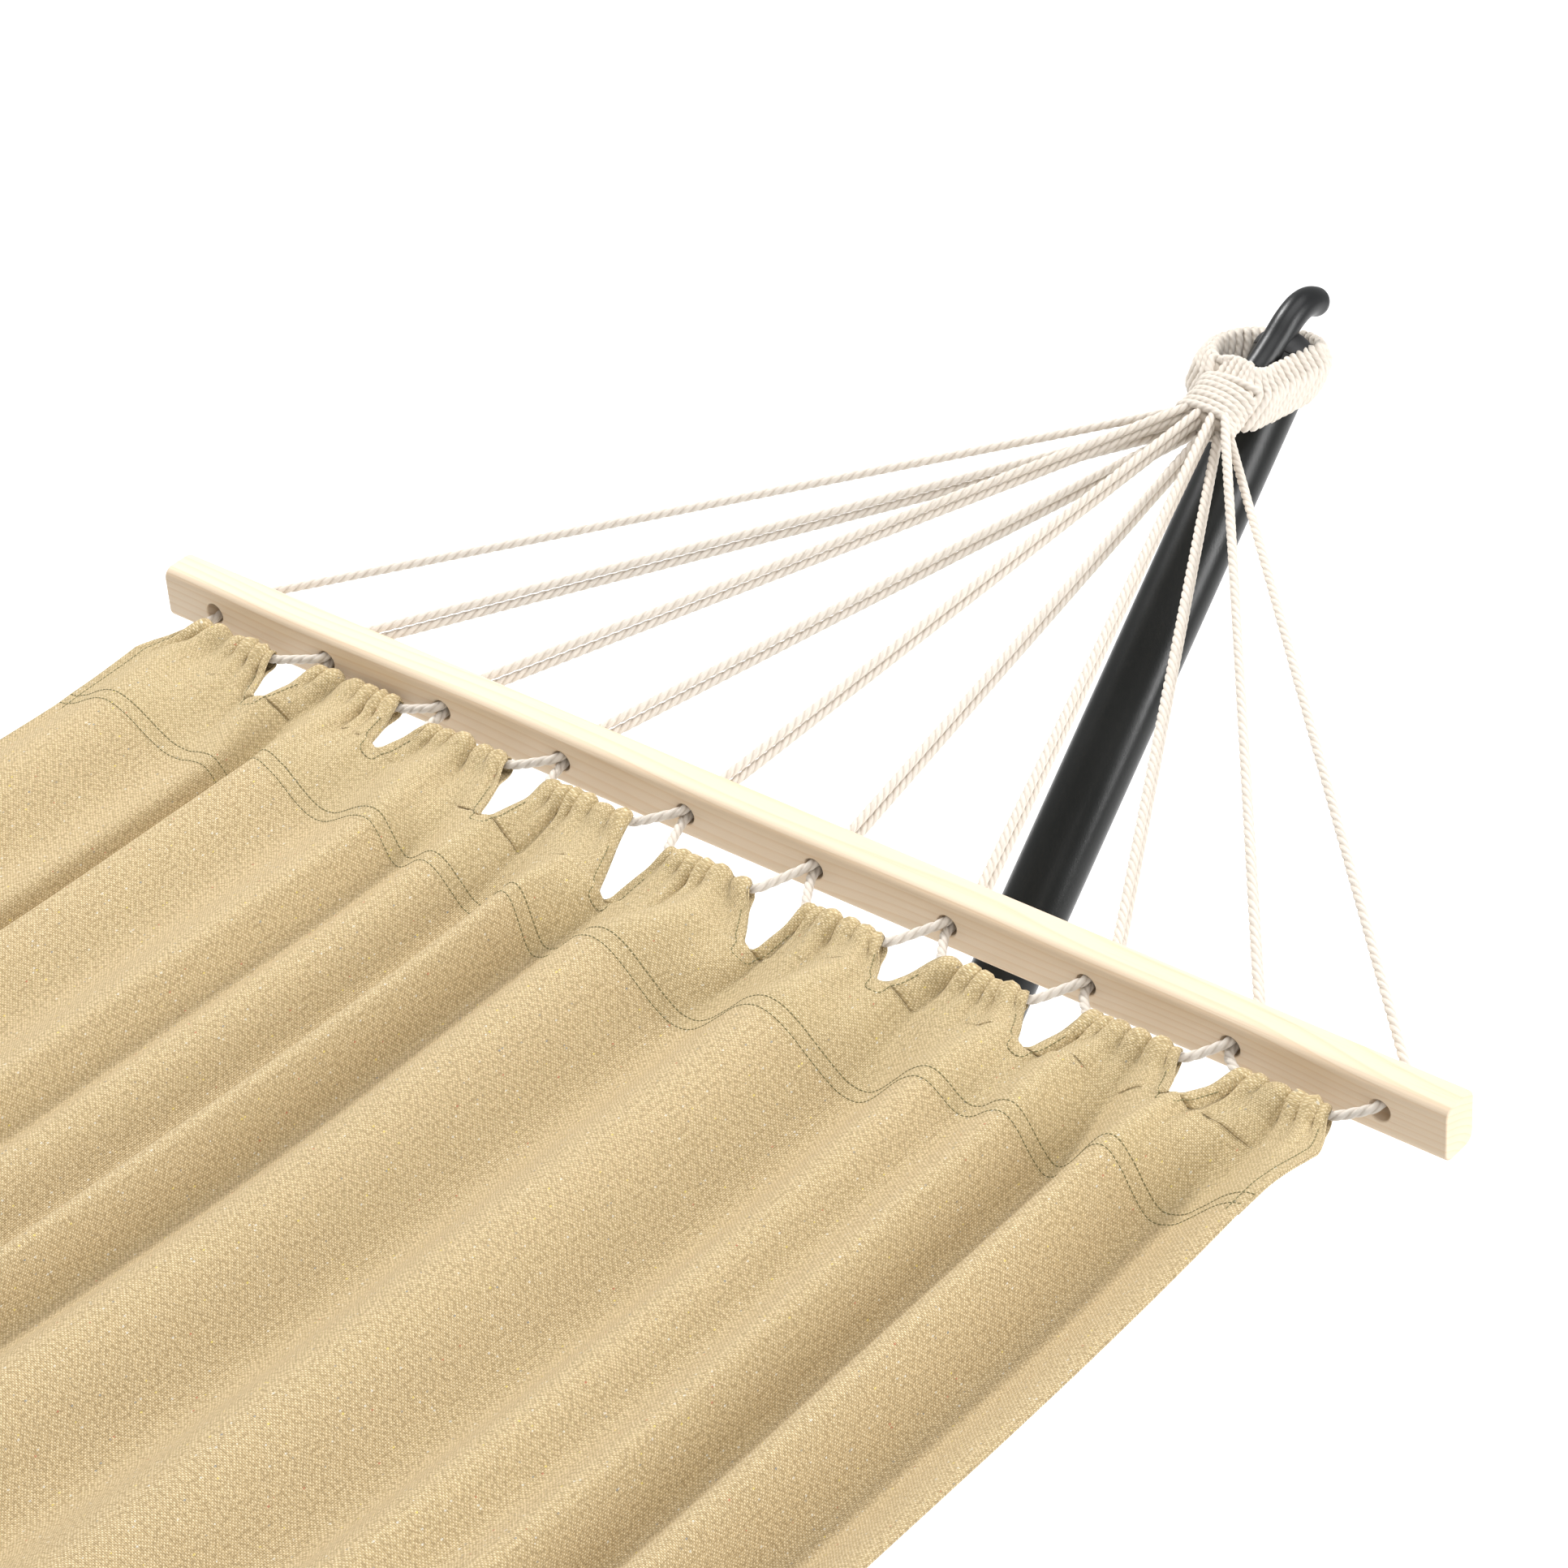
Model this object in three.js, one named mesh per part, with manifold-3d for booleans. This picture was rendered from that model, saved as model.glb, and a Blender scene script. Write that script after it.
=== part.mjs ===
// Hammock on a tubular steel stand. Millimetres, +Z up.
// X runs across the hammock along its spreader bars, Y along its length, and z = 0 is the ground.
// End A lies towards +Y, and end B is the same set of parts turned half round about Z.

import * as THREE from 'three';
import { mergeVertices } from 'three/addons/utils/BufferGeometryUtils.js';
import Module from 'manifold-3d';

const wasm = await Module();
wasm.setup();

// ---- driving dimensions ----

const GAP = 0.3;                    // clearance left between touching pieces

const BAR_LENGTH = 1000;            // wooden spreader bar
const BAR_HEIGHT = 38;
const BAR_DEPTH = 28;
const BAR_ROUNDING = 7;             // radius on the long edges
const BAR_TILT = 0.1;               // radians: the holes rise towards the hook
const BAR_Y = 960;                  // bar centre from the middle of the object
const BAR_Z = 960;                  // bar centre above the ground
const HOLE_COUNT = 10;
const HOLE_PITCH = 101.3;
const HOLE_R = 7;

const ROPE_R = 3;                   // 6 mm three-strand cotton
const ROPE_SIDES = 8;
const PAIR_RISE = 3.35;             // half the height between the two ropes that share a hole
const ROPE_REACH = 3.6;             // straight length that a rope keeps outside a hole's mouth

const NECK_Y = 462;                 // end of the whipped neck, outward from the bar
const NECK_Z = 96;                  // height of the neck above the bar
const NECK_SLOT = 4.4;              // sideways step between neighbouring pairs of ropes there
const NECK_LAYER = 6.7;             // every other pair is raised by this, the rest lowered
const NECK_GAP = 3;                 // from the neck's end to the start of each slanting rope
const NECK_WIDTH_END = 52;
const NECK_WIDTH_EYE = 54;
const NECK_THICKNESS = 28;
const NECK_ROUNDING = 7;            // the neck's broad faces are rounded off over this height
const NECK_SIDE_ROUNDING = 3;       // and over this width
const NECK_SPARE = 30;              // built this much too long, then cut off square

// The nine cloth tabs of an end, each gathered on its rope by hand, so no two lie alike.
const TAB_X = [-422, -316, -214, -109, -1, 101, 202, 304, 404];
const TAB_HALF = [32, 34, 33, 31, 30, 26, 28, 30, 28];
const TAB_INSET = [29, 24, 33, 38, 51, 48, 44, 36, 31]; // rope channel, inward from the bar
const CHANNEL_R = 7;                // the rope channel sewn along a tab's end
const CHANNEL_BORE_R = 3.9;
const CHANNEL_Z = -6;

const BED_HALF = 930;               // from the middle of the bed to its outermost tabs
const BED_EDGE_Y = -95;             // where the tabs join the bed, inward from the bar
const BED_END_WIDTH = 890;
const BED_MID_WIDTH = 960;
const BED_THICKNESS = 3;
const BED_SAG = 56;
const BED_STEPS = 16;

const TUBE_R = 24;                  // 48 mm stand tube
const WALL = 1.5;
const SPIGOT_R = TUBE_R - WALL - GAP;
const SPIGOT_LENGTH = 80;
const SPIGOT_ROOT = 12;             // the spigot's root is joined to the elbow's bore over this length
const TUBE_SIDES = 24;
const FOOT_SIDES = 20;
const ARM_ANGLE = THREE.MathUtils.degToRad(49);
const ARM_END_Y = 541;              // top rim of the arm tube, outward from the bar
const ARM_END_Z = 91;               // and above the bar
const ARM_LENGTH = 900;
const BEND_R = 220;
const BEND_STEPS = 6;
const BASE_HALF = 400;              // half length of the straight base tube

const HOOK_TUBE_OUT = 25;           // the hook tube shows this much above the arm tube
const HOOK_TUBE_IN = 150;
const PLUG_DOME = 19;
const PLUG_STEM = 20;
const DOME_STEPS = 5;
const ROD_R = 10.3;
const ROD_SIDES = 12;
// Rod centre line as [along the arm from its rim, off the arm's axis towards the bed].
const ROD_LINE = [
  [4.5, 25.6], [12.7, 22.4], [29.4, 17.8], [39.8, 15.8], [46, 14.4], [52, 12], [57, 9.6], [61.5, 6.4],
  [65.5, 2], [68.4, -3], [69.8, -8.5],
];

const EYE_PLANE = 13;               // where the eye loop's plane crosses the arm's axis, past the rim
const EYE_DROP = 0.03;              // radians that the loop's plane falls towards its outer side
// Rounds inside the loop, as [towards the bed from the arm's axis, across it, radius]:
// one holds the hook tube, one is the slack side beyond the rod, and one ends at the neck.
const EYE_ROUNDS = [[-4.5, 0, 24.8], [22, -10, 28], [50, 10, 12]];
const EYE_SIDES = 40;
const EYE_THICKNESS = 7;
const EYE_WIDTH = 33;
const EYE_ROUNDING = 3;

const FOOT_Y = 500;
const FOOT_Z = 30;
const FOOT_R = 19;
const FOOT_HALF = 548;              // half length over the end caps
const CAP_DEPTH = 40;
const CAP_END = 5;
const CAP_R = 25;
const CAP_FLAT = 34;                // width of the cap's flat underside
const CAP_SHOULDER = 0.18;          // radians that the cap's round top runs below the tube's middle
const SADDLE_HEIGHT = 5;            // between the two crossing tubes
const SADDLE_LIP = 9;
const SADDLE_X = 64;
const SADDLE_Y = 46;
const BASE_Z = FOOT_Z + FOOT_R + SADDLE_HEIGHT + TUBE_R;

const BOLT_R = 4;
const BOLT_HOLE_R = 4.4;
const BOLT_HEAD_R = 7.5;            // across corners of a 13 mm hexagon
const BOLT_HEAD = 5.3;
const NUT_HEIGHT = 6.5;
const BOLT_INSET = 40;              // bolt centre from the end of the outer tube
const SCREW_R = 2.4;
const SCREW_HEAD_R = 5;
const SCREW_HEAD = 3;
const SCREW_LENGTH = 8;
const SCREW_ALONG = -60;            // from the arm's rim

// ---- materials ----

function finish(color, roughness, metalness) {
  return new THREE.MeshStandardMaterial({ color, roughness, metalness });
}

const BLACK_STEEL = () => finish(0x1d1f20, 0.42, 0.5);
const BLACK_PLASTIC = () => finish(0x161718, 0.5, 0);
const ZINC = () => finish(0x9a9c9e, 0.35, 1);
const PINE = () => finish(0xe0c79c, 0.7, 0);
const COTTON = () => finish(0xe6dfd0, 0.95, 0);
const CANVAS = () => finish(0xb7a374, 0.95, 0);

// ---- solids: joining and cutting ----

function toSolid(geometry, matrix = new THREE.Matrix4()) {
  const plain = geometry.clone().applyMatrix4(matrix);
  plain.deleteAttribute('normal');
  plain.deleteAttribute('uv');
  const merged = mergeVertices(plain, 1e-4);
  const vertProperties = new Float32Array(merged.attributes.position.array);
  const triVerts = new Uint32Array(merged.index.array);
  return new wasm.Manifold(new wasm.Mesh({ numProp: 3, vertProperties, triVerts }));
}

function toGeometry(solid) {
  const mesh = solid.getMesh();
  const geometry = new THREE.BufferGeometry();
  const places = new Float32Array(mesh.vertProperties);
  geometry.setAttribute('position', new THREE.BufferAttribute(places, 3));
  geometry.setIndex(new THREE.BufferAttribute(new Uint32Array(mesh.triVerts), 1));
  return geometry;
}

const joined = (solids) => solids.reduce((sum, solid) => sum.add(solid));
const moved = (x, y, z) => new THREE.Matrix4().makeTranslation(x, y, z);

// Turns a shape that runs along +Z so that it runs along the given direction, at the given place.
function along(direction, x, y, z) {
  const turn = new THREE.Quaternion().setFromUnitVectors(new THREE.Vector3(0, 0, 1), direction);
  return new THREE.Matrix4().compose(new THREE.Vector3(x, y, z), turn, new THREE.Vector3(1, 1, 1));
}

// ---- outlines and sweeps ----

// A route through listed points, with one section of the sweep at each point.
class Route extends THREE.Curve {
  constructor(points) {
    super();
    this.points = points.map((point) => new THREE.Vector3(...point));
  }

  getPoint(t, target = new THREE.Vector3()) {
    const last = this.points.length - 1;
    const at = Math.min(t * last, last);
    const index = Math.min(Math.floor(at + 1e-9), last - 1);
    return target.lerpVectors(this.points[index], this.points[index + 1], at - index);
  }

  getPointAt(t, target) {
    return this.getPoint(t, target);
  }

  // Direction from the listed point to the next one.
  step(index) {
    return this.points[index + 1].clone().sub(this.points[index]).normalize();
  }

  getTangentAt(t, target = new THREE.Vector3()) {
    const last = this.points.length - 1;
    const index = Math.round(t * last);
    const before = this.step(Math.max(index - 1, 0));
    const after = this.step(Math.min(index, last - 1));
    return target.copy(before).add(after).normalize();
  }
}

function circle(radius, sides, start = 0) {
  const corners = [];
  for (let i = 0; i < sides; i += 1) {
    const angle = start + (2 * Math.PI * i) / sides;
    corners.push(new THREE.Vector2(radius * Math.cos(angle), radius * Math.sin(angle)));
  }
  return corners;
}

function discShape(radius, sides) {
  return new THREE.Shape(circle(radius, sides));
}

function ringShape(outer, inner, sides) {
  const shape = new THREE.Shape(circle(outer, sides));
  shape.holes.push(new THREE.Path(circle(inner, sides).reverse()));
  return shape;
}

function sweep(shape, points) {
  const extrudePath = new Route(points);
  const steps = points.length - 1;
  return new THREE.ExtrudeGeometry(shape, { steps, bevelEnabled: false, extrudePath });
}

function straight(shape, depth) {
  return new THREE.ExtrudeGeometry(shape, { depth, bevelEnabled: false });
}

// A turned part from its profile of [radius, height] points, with its axis along +Z.
function turned(profile, sides) {
  const geometry = new THREE.LatheGeometry(profile.map(([r, z]) => new THREE.Vector2(r, z)), sides);
  return geometry.rotateX(Math.PI / 2);
}

function named(name, geometry, material) {
  const mesh = new THREE.Mesh(geometry, material);
  mesh.name = name;
  return mesh;
}

// ---- the arm's own directions, in the frame whose origin is the bar's centre ----

const ARM_DIR = new THREE.Vector3(0, Math.cos(ARM_ANGLE), Math.sin(ARM_ANGLE));
const OFF_DIR = new THREE.Vector3(0, -Math.sin(ARM_ANGLE), Math.cos(ARM_ANGLE));
const X_DIR = new THREE.Vector3(1, 0, 0);

// A point in the object's frame, from its distances along the arm and off its axis.
function armPoint(distance, off = 0, x = 0) {
  const point = new THREE.Vector3(x, BAR_Y + ARM_END_Y, BAR_Z + ARM_END_Z);
  point.addScaledVector(ARM_DIR, distance);
  return point.addScaledVector(OFF_DIR, off);
}

const armPlace = (distance) => along(ARM_DIR, ...armPoint(distance).toArray());

// ---- fasteners: bolts, nuts and screws, each a turned or six-sided solid ----

// A shank with a head under its start; the shank's root reaches 1 mm into the head.
function headedSolid(shankR, length, headShape, headHeight, place) {
  const root = place.clone().multiply(moved(0, 0, -1));
  const top = place.clone().multiply(moved(0, 0, -headHeight));
  const shank = toSolid(straight(discShape(shankR, 10), length + 1), root);
  return shank.add(toSolid(straight(headShape, headHeight), top));
}

function boltSolid(length, place) {
  return headedSolid(BOLT_R, length, discShape(BOLT_HEAD_R, 6), BOLT_HEAD, place);
}

function screwSolid(place) {
  return headedSolid(SCREW_R, SCREW_LENGTH, discShape(SCREW_HEAD_R, 12), SCREW_HEAD, place);
}

function nutSolid(place) {
  const shape = new THREE.Shape(circle(BOLT_HEAD_R, 6));
  shape.holes.push(new THREE.Path(circle(BOLT_HOLE_R, 10).reverse()));
  return toSolid(straight(shape, NUT_HEIGHT), place);
}

function drill(place, length, radius = BOLT_HOLE_R) {
  return toSolid(straight(discShape(radius, 10), length), place);
}

const bodyTurn = new THREE.Matrix4().makeRotationZ(Math.PI);
const bothEnds = (place) => [place, bodyTurn.clone().multiply(place)];

// Cross bolts run along X: head on one side, nut on the other.
const crossPlace = (y, z) => along(X_DIR, -TUBE_R - GAP, y, z);
const lowBoltPlace = crossPlace(BASE_HALF - BOLT_INSET, BASE_Z);
const highBoltPoint = armPoint(-ARM_LENGTH + BOLT_INSET);
const highBoltPlace = crossPlace(highBoltPoint.y, highBoltPoint.z);
const crossLength = 2 * TUBE_R + GAP + NUT_HEIGHT + 3;
const nutShift = moved(0, 0, 2 * (TUBE_R + GAP));
const crossHole = (place) => drill(place.clone().multiply(moved(0, 0, -5)), 2 * TUBE_R + 10);

// Foot bolts run down through the elbow, the saddle and the foot tube.
const DOWN = new THREE.Vector3(0, 0, -1);
const footBoltTop = BASE_Z + TUBE_R + GAP;
const footBoltPlace = along(DOWN, 0, FOOT_Y, footBoltTop);
const footNutTop = FOOT_Z - FOOT_R - GAP;
const footBoltLength = footBoltTop - footNutTop + NUT_HEIGHT + 1.5;
const footHole = () => drill(footBoltPlace, footBoltLength + 5);

// A small screw holds the hook tube in the arm, from the underside.
const screwPlace = along(OFF_DIR, ...armPoint(SCREW_ALONG, -TUBE_R - GAP).toArray());
const screwHole = () => drill(screwPlace, SCREW_LENGTH + 2, SCREW_R + GAP);

// ---- stand ----

function elbowGeometry() {
  const rise = Math.tan(ARM_ANGLE);
  const corner = BAR_Y + ARM_END_Y - (BAR_Z + ARM_END_Z - BASE_Z) / rise;
  const tangent = BEND_R * Math.tan(ARM_ANGLE / 2);
  const top = armPoint(-ARM_LENGTH - GAP);
  const points = [[0, BASE_HALF + GAP, BASE_Z]];
  for (let i = 0; i <= BEND_STEPS; i += 1) {
    const angle = (ARM_ANGLE * i) / BEND_STEPS;
    const y = corner - tangent + BEND_R * Math.sin(angle);
    points.push([0, y, BASE_Z + BEND_R * (1 - Math.cos(angle))]);
  }
  points.push(top.toArray());
  const bent = toSolid(sweep(ringShape(TUBE_R, TUBE_R - WALL, TUBE_SIDES), points));
  const back = new THREE.Vector3(0, -1, 0);
  const low = spigotSolid(along(back, 0, BASE_HALF, BASE_Z));
  const high = spigotSolid(armPlace(-ARM_LENGTH));
  const holes = joined([crossHole(lowBoltPlace), crossHole(highBoltPlace), footHole()]);
  return toGeometry(joined([bent, low, high]).subtract(holes));
}

// The elbow's reduced end, which slides into the next tube; its root is as wide as the tube's bore.
function spigotSolid(place) {
  const inner = SPIGOT_R - WALL;
  const root = TUBE_R - WALL / 2;
  const profile = [
    [inner, -SPIGOT_ROOT], [root, -SPIGOT_ROOT], [root, -1], [SPIGOT_R, -1 + 2 * GAP],
    [SPIGOT_R, SPIGOT_LENGTH], [inner, SPIGOT_LENGTH], [inner, -SPIGOT_ROOT],
  ];
  return toSolid(turned(profile, TUBE_SIDES), place);
}

function baseTubeGeometry() {
  const run = straight(ringShape(TUBE_R, TUBE_R - WALL, TUBE_SIDES), 2 * BASE_HALF);
  const tube = toSolid(run, along(new THREE.Vector3(0, 1, 0), 0, -BASE_HALF, BASE_Z));
  return toGeometry(tube.subtract(joined(bothEnds(lowBoltPlace).map(crossHole))));
}

function armTubeGeometry() {
  const run = straight(ringShape(TUBE_R, TUBE_R - WALL, TUBE_SIDES), ARM_LENGTH);
  const holes = joined([crossHole(highBoltPlace), screwHole()]);
  return toGeometry(toSolid(run, armPlace(-ARM_LENGTH)).subtract(holes));
}

function rodSolid(grow) {
  const points = ROD_LINE.map(([distance, off]) => armPoint(distance, off).toArray());
  const rod = toSolid(sweep(discShape(ROD_R + grow, ROD_SIDES), points));
  const tip = new THREE.SphereGeometry(ROD_R + grow, ROD_SIDES, 6);
  return rod.add(toSolid(tip, moved(...points[points.length - 1])));
}

function hookTubeGeometry() {
  const length = HOOK_TUBE_OUT + HOOK_TUBE_IN;
  const run = straight(ringShape(SPIGOT_R, SPIGOT_R - WALL, TUBE_SIDES), length);
  const cuts = joined([rodSolid(GAP), screwHole()]);
  return toGeometry(toSolid(run, armPlace(-HOOK_TUBE_IN)).subtract(cuts));
}

function hookPlugGeometry() {
  const stem = SPIGOT_R - WALL - GAP;
  const profile = [[0, -PLUG_STEM], [stem, -PLUG_STEM], [stem, GAP], [SPIGOT_R, GAP]];
  for (let i = 1; i < DOME_STEPS; i += 1) {
    const angle = (Math.PI / 2) * (i / DOME_STEPS);
    profile.push([SPIGOT_R * Math.cos(angle), GAP + PLUG_DOME * Math.sin(angle)]);
  }
  profile.push([0, GAP + PLUG_DOME]);
  const plug = toSolid(turned(profile, TUBE_SIDES), armPlace(HOOK_TUBE_OUT));
  return toGeometry(plug.subtract(rodSolid(GAP)));
}

function footTubeGeometry() {
  const half = FOOT_HALF - CAP_END - GAP;
  const run = straight(ringShape(FOOT_R, FOOT_R - WALL, FOOT_SIDES), 2 * half);
  const tube = toSolid(run, along(X_DIR, -half, FOOT_Y, FOOT_Z));
  return toGeometry(tube.subtract(footHole()));
}

// Round on top and flat underneath, with a blind socket for the tube.
function footCapGeometry(side) {
  const outline = new THREE.Shape();
  outline.moveTo(-CAP_FLAT / 2, -FOOT_Z);
  outline.lineTo(CAP_FLAT / 2, -FOOT_Z);
  outline.absarc(0, 0, CAP_R, -CAP_SHOULDER, Math.PI + CAP_SHOULDER, false);
  const block = straight(outline, CAP_DEPTH);
  // The outline's own y axis stands up and the block runs along X.
  const stand = new THREE.Matrix4().makeBasis(
    new THREE.Vector3(0, 1, 0), new THREE.Vector3(0, 0, 1), new THREE.Vector3(1, 0, 0),
  );
  const start = side > 0 ? FOOT_HALF - CAP_DEPTH : -FOOT_HALF;
  stand.setPosition(start, FOOT_Y, FOOT_Z);
  const socketStart = side > 0 ? start - 1 : -FOOT_HALF + CAP_END;
  const socket = straight(discShape(FOOT_R + GAP, FOOT_SIDES), CAP_DEPTH - CAP_END + 1);
  const bore = toSolid(socket, along(X_DIR, socketStart, FOOT_Y, FOOT_Z));
  return toGeometry(toSolid(block, stand).subtract(bore));
}

function saddleGeometry() {
  const low = FOOT_Z + FOOT_R - SADDLE_LIP;
  const high = BASE_Z - TUBE_R + SADDLE_LIP;
  const block = new THREE.BoxGeometry(SADDLE_X, SADDLE_Y, high - low);
  const body = toSolid(block, moved(0, FOOT_Y, (low + high) / 2));
  const reach = 200;
  const foot = straight(discShape(FOOT_R + GAP, FOOT_SIDES), reach);
  const base = straight(discShape(TUBE_R + GAP, TUBE_SIDES), reach);
  const footCut = toSolid(foot, along(X_DIR, -reach / 2, FOOT_Y, FOOT_Z));
  const baseCut = toSolid(base, along(new THREE.Vector3(0, 1, 0), 0, FOOT_Y - reach / 2, BASE_Z));
  return toGeometry(body.subtract(joined([footCut, baseCut, footHole()])));
}

// ---- eye loop and its whipped neck ----

// The line of a belt round the loop's inner rounds, that far outside them.
function beltOutline(grow) {
  const corners = [];
  for (let i = 0; i < EYE_SIDES; i += 1) {
    const angle = (2 * Math.PI * i) / EYE_SIDES;
    const normal = new THREE.Vector2(Math.cos(angle), Math.sin(angle));
    const reach = ([x, y, r]) => x * normal.x + y * normal.y + r;
    const [x, y, r] = EYE_ROUNDS.reduce((far, round) => (reach(round) > reach(far) ? round : far));
    corners.push(new THREE.Vector2(x, y).addScaledVector(normal, r + grow));
  }
  return corners;
}

function eyeLoopGeometry() {
  const band = new THREE.Shape(beltOutline(EYE_THICKNESS - EYE_ROUNDING));
  band.holes.push(new THREE.Path(beltOutline(EYE_ROUNDING).reverse()));
  const loop = new THREE.ExtrudeGeometry(band, {
    depth: EYE_WIDTH - 2 * EYE_ROUNDING,
    bevelSize: EYE_ROUNDING,
    bevelThickness: EYE_ROUNDING,
    bevelSegments: 2,
    steps: 1,
  });
  loop.translate(0, 0, EYE_ROUNDING - EYE_WIDTH / 2);
  // The outline's x runs towards the bed and its y across it, and the band's width follows the arm.
  const toBed = new THREE.Vector3(0, -Math.cos(EYE_DROP), Math.sin(EYE_DROP));
  const place = new THREE.Matrix4().makeBasis(toBed, X_DIR, ARM_DIR);
  const centre = armPoint(EYE_PLANE);
  place.setPosition(centre);

  const neckEnd = new THREE.Vector3(0, BAR_Y + NECK_Y, BAR_Z + NECK_Z);
  const neckStart = centre.clone().addScaledVector(toBed, EYE_ROUNDS[2][0]);
  const run = neckEnd.clone().sub(neckStart);
  const length = run.length();
  run.normalize();
  const widen = ((NECK_WIDTH_END - NECK_WIDTH_EYE) / length) * NECK_SPARE;
  const eyeHalf = NECK_WIDTH_EYE / 2 - NECK_SIDE_ROUNDING;
  const endHalf = (NECK_WIDTH_END + widen) / 2 - NECK_SIDE_ROUNDING;
  const plan = new THREE.Shape([
    new THREE.Vector2(0, -eyeHalf),
    new THREE.Vector2(length + NECK_SPARE, -endHalf),
    new THREE.Vector2(length + NECK_SPARE, endHalf),
    new THREE.Vector2(0, eyeHalf),
  ]);
  const neck = new THREE.ExtrudeGeometry(plan, {
    depth: NECK_THICKNESS - 2 * NECK_ROUNDING,
    bevelSize: NECK_SIDE_ROUNDING,
    bevelThickness: NECK_ROUNDING,
    bevelSegments: 2,
    steps: 1,
  });
  neck.translate(0, 0, NECK_ROUNDING - NECK_THICKNESS / 2);
  const neckUp = new THREE.Vector3(0, run.z, -run.y);
  const neckAcross = new THREE.Vector3().crossVectors(neckUp, run);
  const neckPlace = new THREE.Matrix4().makeBasis(run, neckAcross, neckUp);
  neckPlace.setPosition(neckStart);
  const cutter = new THREE.BoxGeometry(200, 100, 200);
  const cut = toSolid(cutter, moved(0, neckEnd.y - 50, neckEnd.z));
  const hollow = eyeHollow(place);
  return toGeometry(toSolid(neck, neckPlace).subtract(hollow).add(toSolid(loop, place)).subtract(cut));
}

// The space inside the loop, kept free of the neck.
function eyeHollow(place) {
  const inside = straight(new THREE.Shape(beltOutline(1)), 120);
  inside.translate(0, 0, -60);
  return toSolid(inside, place);
}

// ---- spreader bar ----

function barGeometry() {
  const shape = new THREE.Shape();
  const y = BAR_DEPTH / 2 - BAR_ROUNDING;
  const z = BAR_HEIGHT / 2 - BAR_ROUNDING;
  shape.absarc(y, z, BAR_ROUNDING, 0, Math.PI / 2, false);
  shape.absarc(-y, z, BAR_ROUNDING, Math.PI / 2, Math.PI, false);
  shape.absarc(-y, -z, BAR_ROUNDING, Math.PI, 1.5 * Math.PI, false);
  shape.absarc(y, -z, BAR_ROUNDING, 1.5 * Math.PI, 2 * Math.PI, false);
  const run = new THREE.ExtrudeGeometry(shape, { depth: BAR_LENGTH, bevelEnabled: false, curveSegments: 4 });
  const lie = new THREE.Matrix4().makeBasis(
    new THREE.Vector3(0, 1, 0), new THREE.Vector3(0, 0, 1), new THREE.Vector3(1, 0, 0),
  );
  lie.setPosition(-BAR_LENGTH / 2, 0, 0);
  let bar = toSolid(run, lie);
  const bore = straight(discShape(HOLE_R, 12), 2 * BAR_DEPTH);
  for (let hole = 0; hole < HOLE_COUNT; hole += 1) {
    bar = bar.subtract(toSolid(bore, along(new THREE.Vector3(0, 1, 0), holeX(hole), -BAR_DEPTH, 0)));
  }
  return toGeometry(bar);
}

const holeX = (hole) => (hole - (HOLE_COUNT - 1) / 2) * HOLE_PITCH;

function barMesh(name) {
  const bar = named(name, barGeometry(), PINE());
  bar.rotation.x = BAR_TILT;
  bar.position.set(0, BAR_Y, BAR_Z);
  return bar;
}

// ---- ropes: hook side, hole, tab, next hole, hook side ----

// A point beside a hole's mouth, along the bar's own tilted hole, raised or lowered for its rope.
function mouthPoint(hole, out, raise, lean = 0) {
  const y = out * Math.cos(BAR_TILT) - raise * Math.sin(BAR_TILT);
  const z = out * Math.sin(BAR_TILT) + raise * Math.cos(BAR_TILT);
  return [holeX(hole) + lean, BAR_Y + y, BAR_Z + z];
}

function neckPoint(hole, raise) {
  const layer = hole % 2 === 0 ? NECK_LAYER : -NECK_LAYER;
  const x = (hole - (HOLE_COUNT - 1) / 2) * NECK_SLOT;
  return [x, BAR_Y + NECK_Y - NECK_GAP, BAR_Z + NECK_Z + layer + raise];
}

function ropePoints(tab) {
  const mouth = BAR_DEPTH / 2;
  const y = BAR_Y - TAB_INSET[tab];
  const z = BAR_Z + CHANNEL_Z;
  const left = TAB_X[tab] - TAB_HALF[tab];
  const right = TAB_X[tab] + TAB_HALF[tab];
  return [
    neckPoint(tab, -PAIR_RISE),
    mouthPoint(tab, mouth + ROPE_REACH, -PAIR_RISE, 1),
    mouthPoint(tab, mouth + 1, -PAIR_RISE),
    mouthPoint(tab, -mouth - 1, -PAIR_RISE),
    mouthPoint(tab, -mouth - ROPE_REACH, -PAIR_RISE, 1),
    [left - 5, y + 2, z + 0.5],
    [left, y + 0.2, z],
    [right, y + 0.2, z],
    [right + 5, y + 2, z + 0.5],
    mouthPoint(tab + 1, -mouth - ROPE_REACH, PAIR_RISE, -1),
    mouthPoint(tab + 1, -mouth - 1, PAIR_RISE),
    mouthPoint(tab + 1, mouth + 1, PAIR_RISE),
    mouthPoint(tab + 1, mouth + ROPE_REACH, PAIR_RISE, -1),
    neckPoint(tab + 1, PAIR_RISE),
  ];
}

// ---- bed cloth with its end tabs ----

// Height of the bed above the bars' centre line, from the distance to the middle of the object.
function bedZ(y) {
  return BAR_Z + CHANNEL_Z - BED_SAG * (1 - (y / BED_HALF) ** 2);
}

function bedSheetSolid() {
  const length = 2 * (BAR_Y + BED_EDGE_Y);
  const sheet = new THREE.BoxGeometry(1, length, BED_THICKNESS, 2, BED_STEPS, 1);
  const place = sheet.attributes.position;
  for (let i = 0; i < place.count; i += 1) {
    const y = place.getY(i);
    const share = Math.abs(y) / (length / 2);
    const width = BED_MID_WIDTH - (BED_MID_WIDTH - BED_END_WIDTH) * share ** 4;
    place.setX(i, place.getX(i) * width);
    place.setZ(i, place.getZ(i) + bedZ(y));
  }
  return toSolid(sheet);
}

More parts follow.
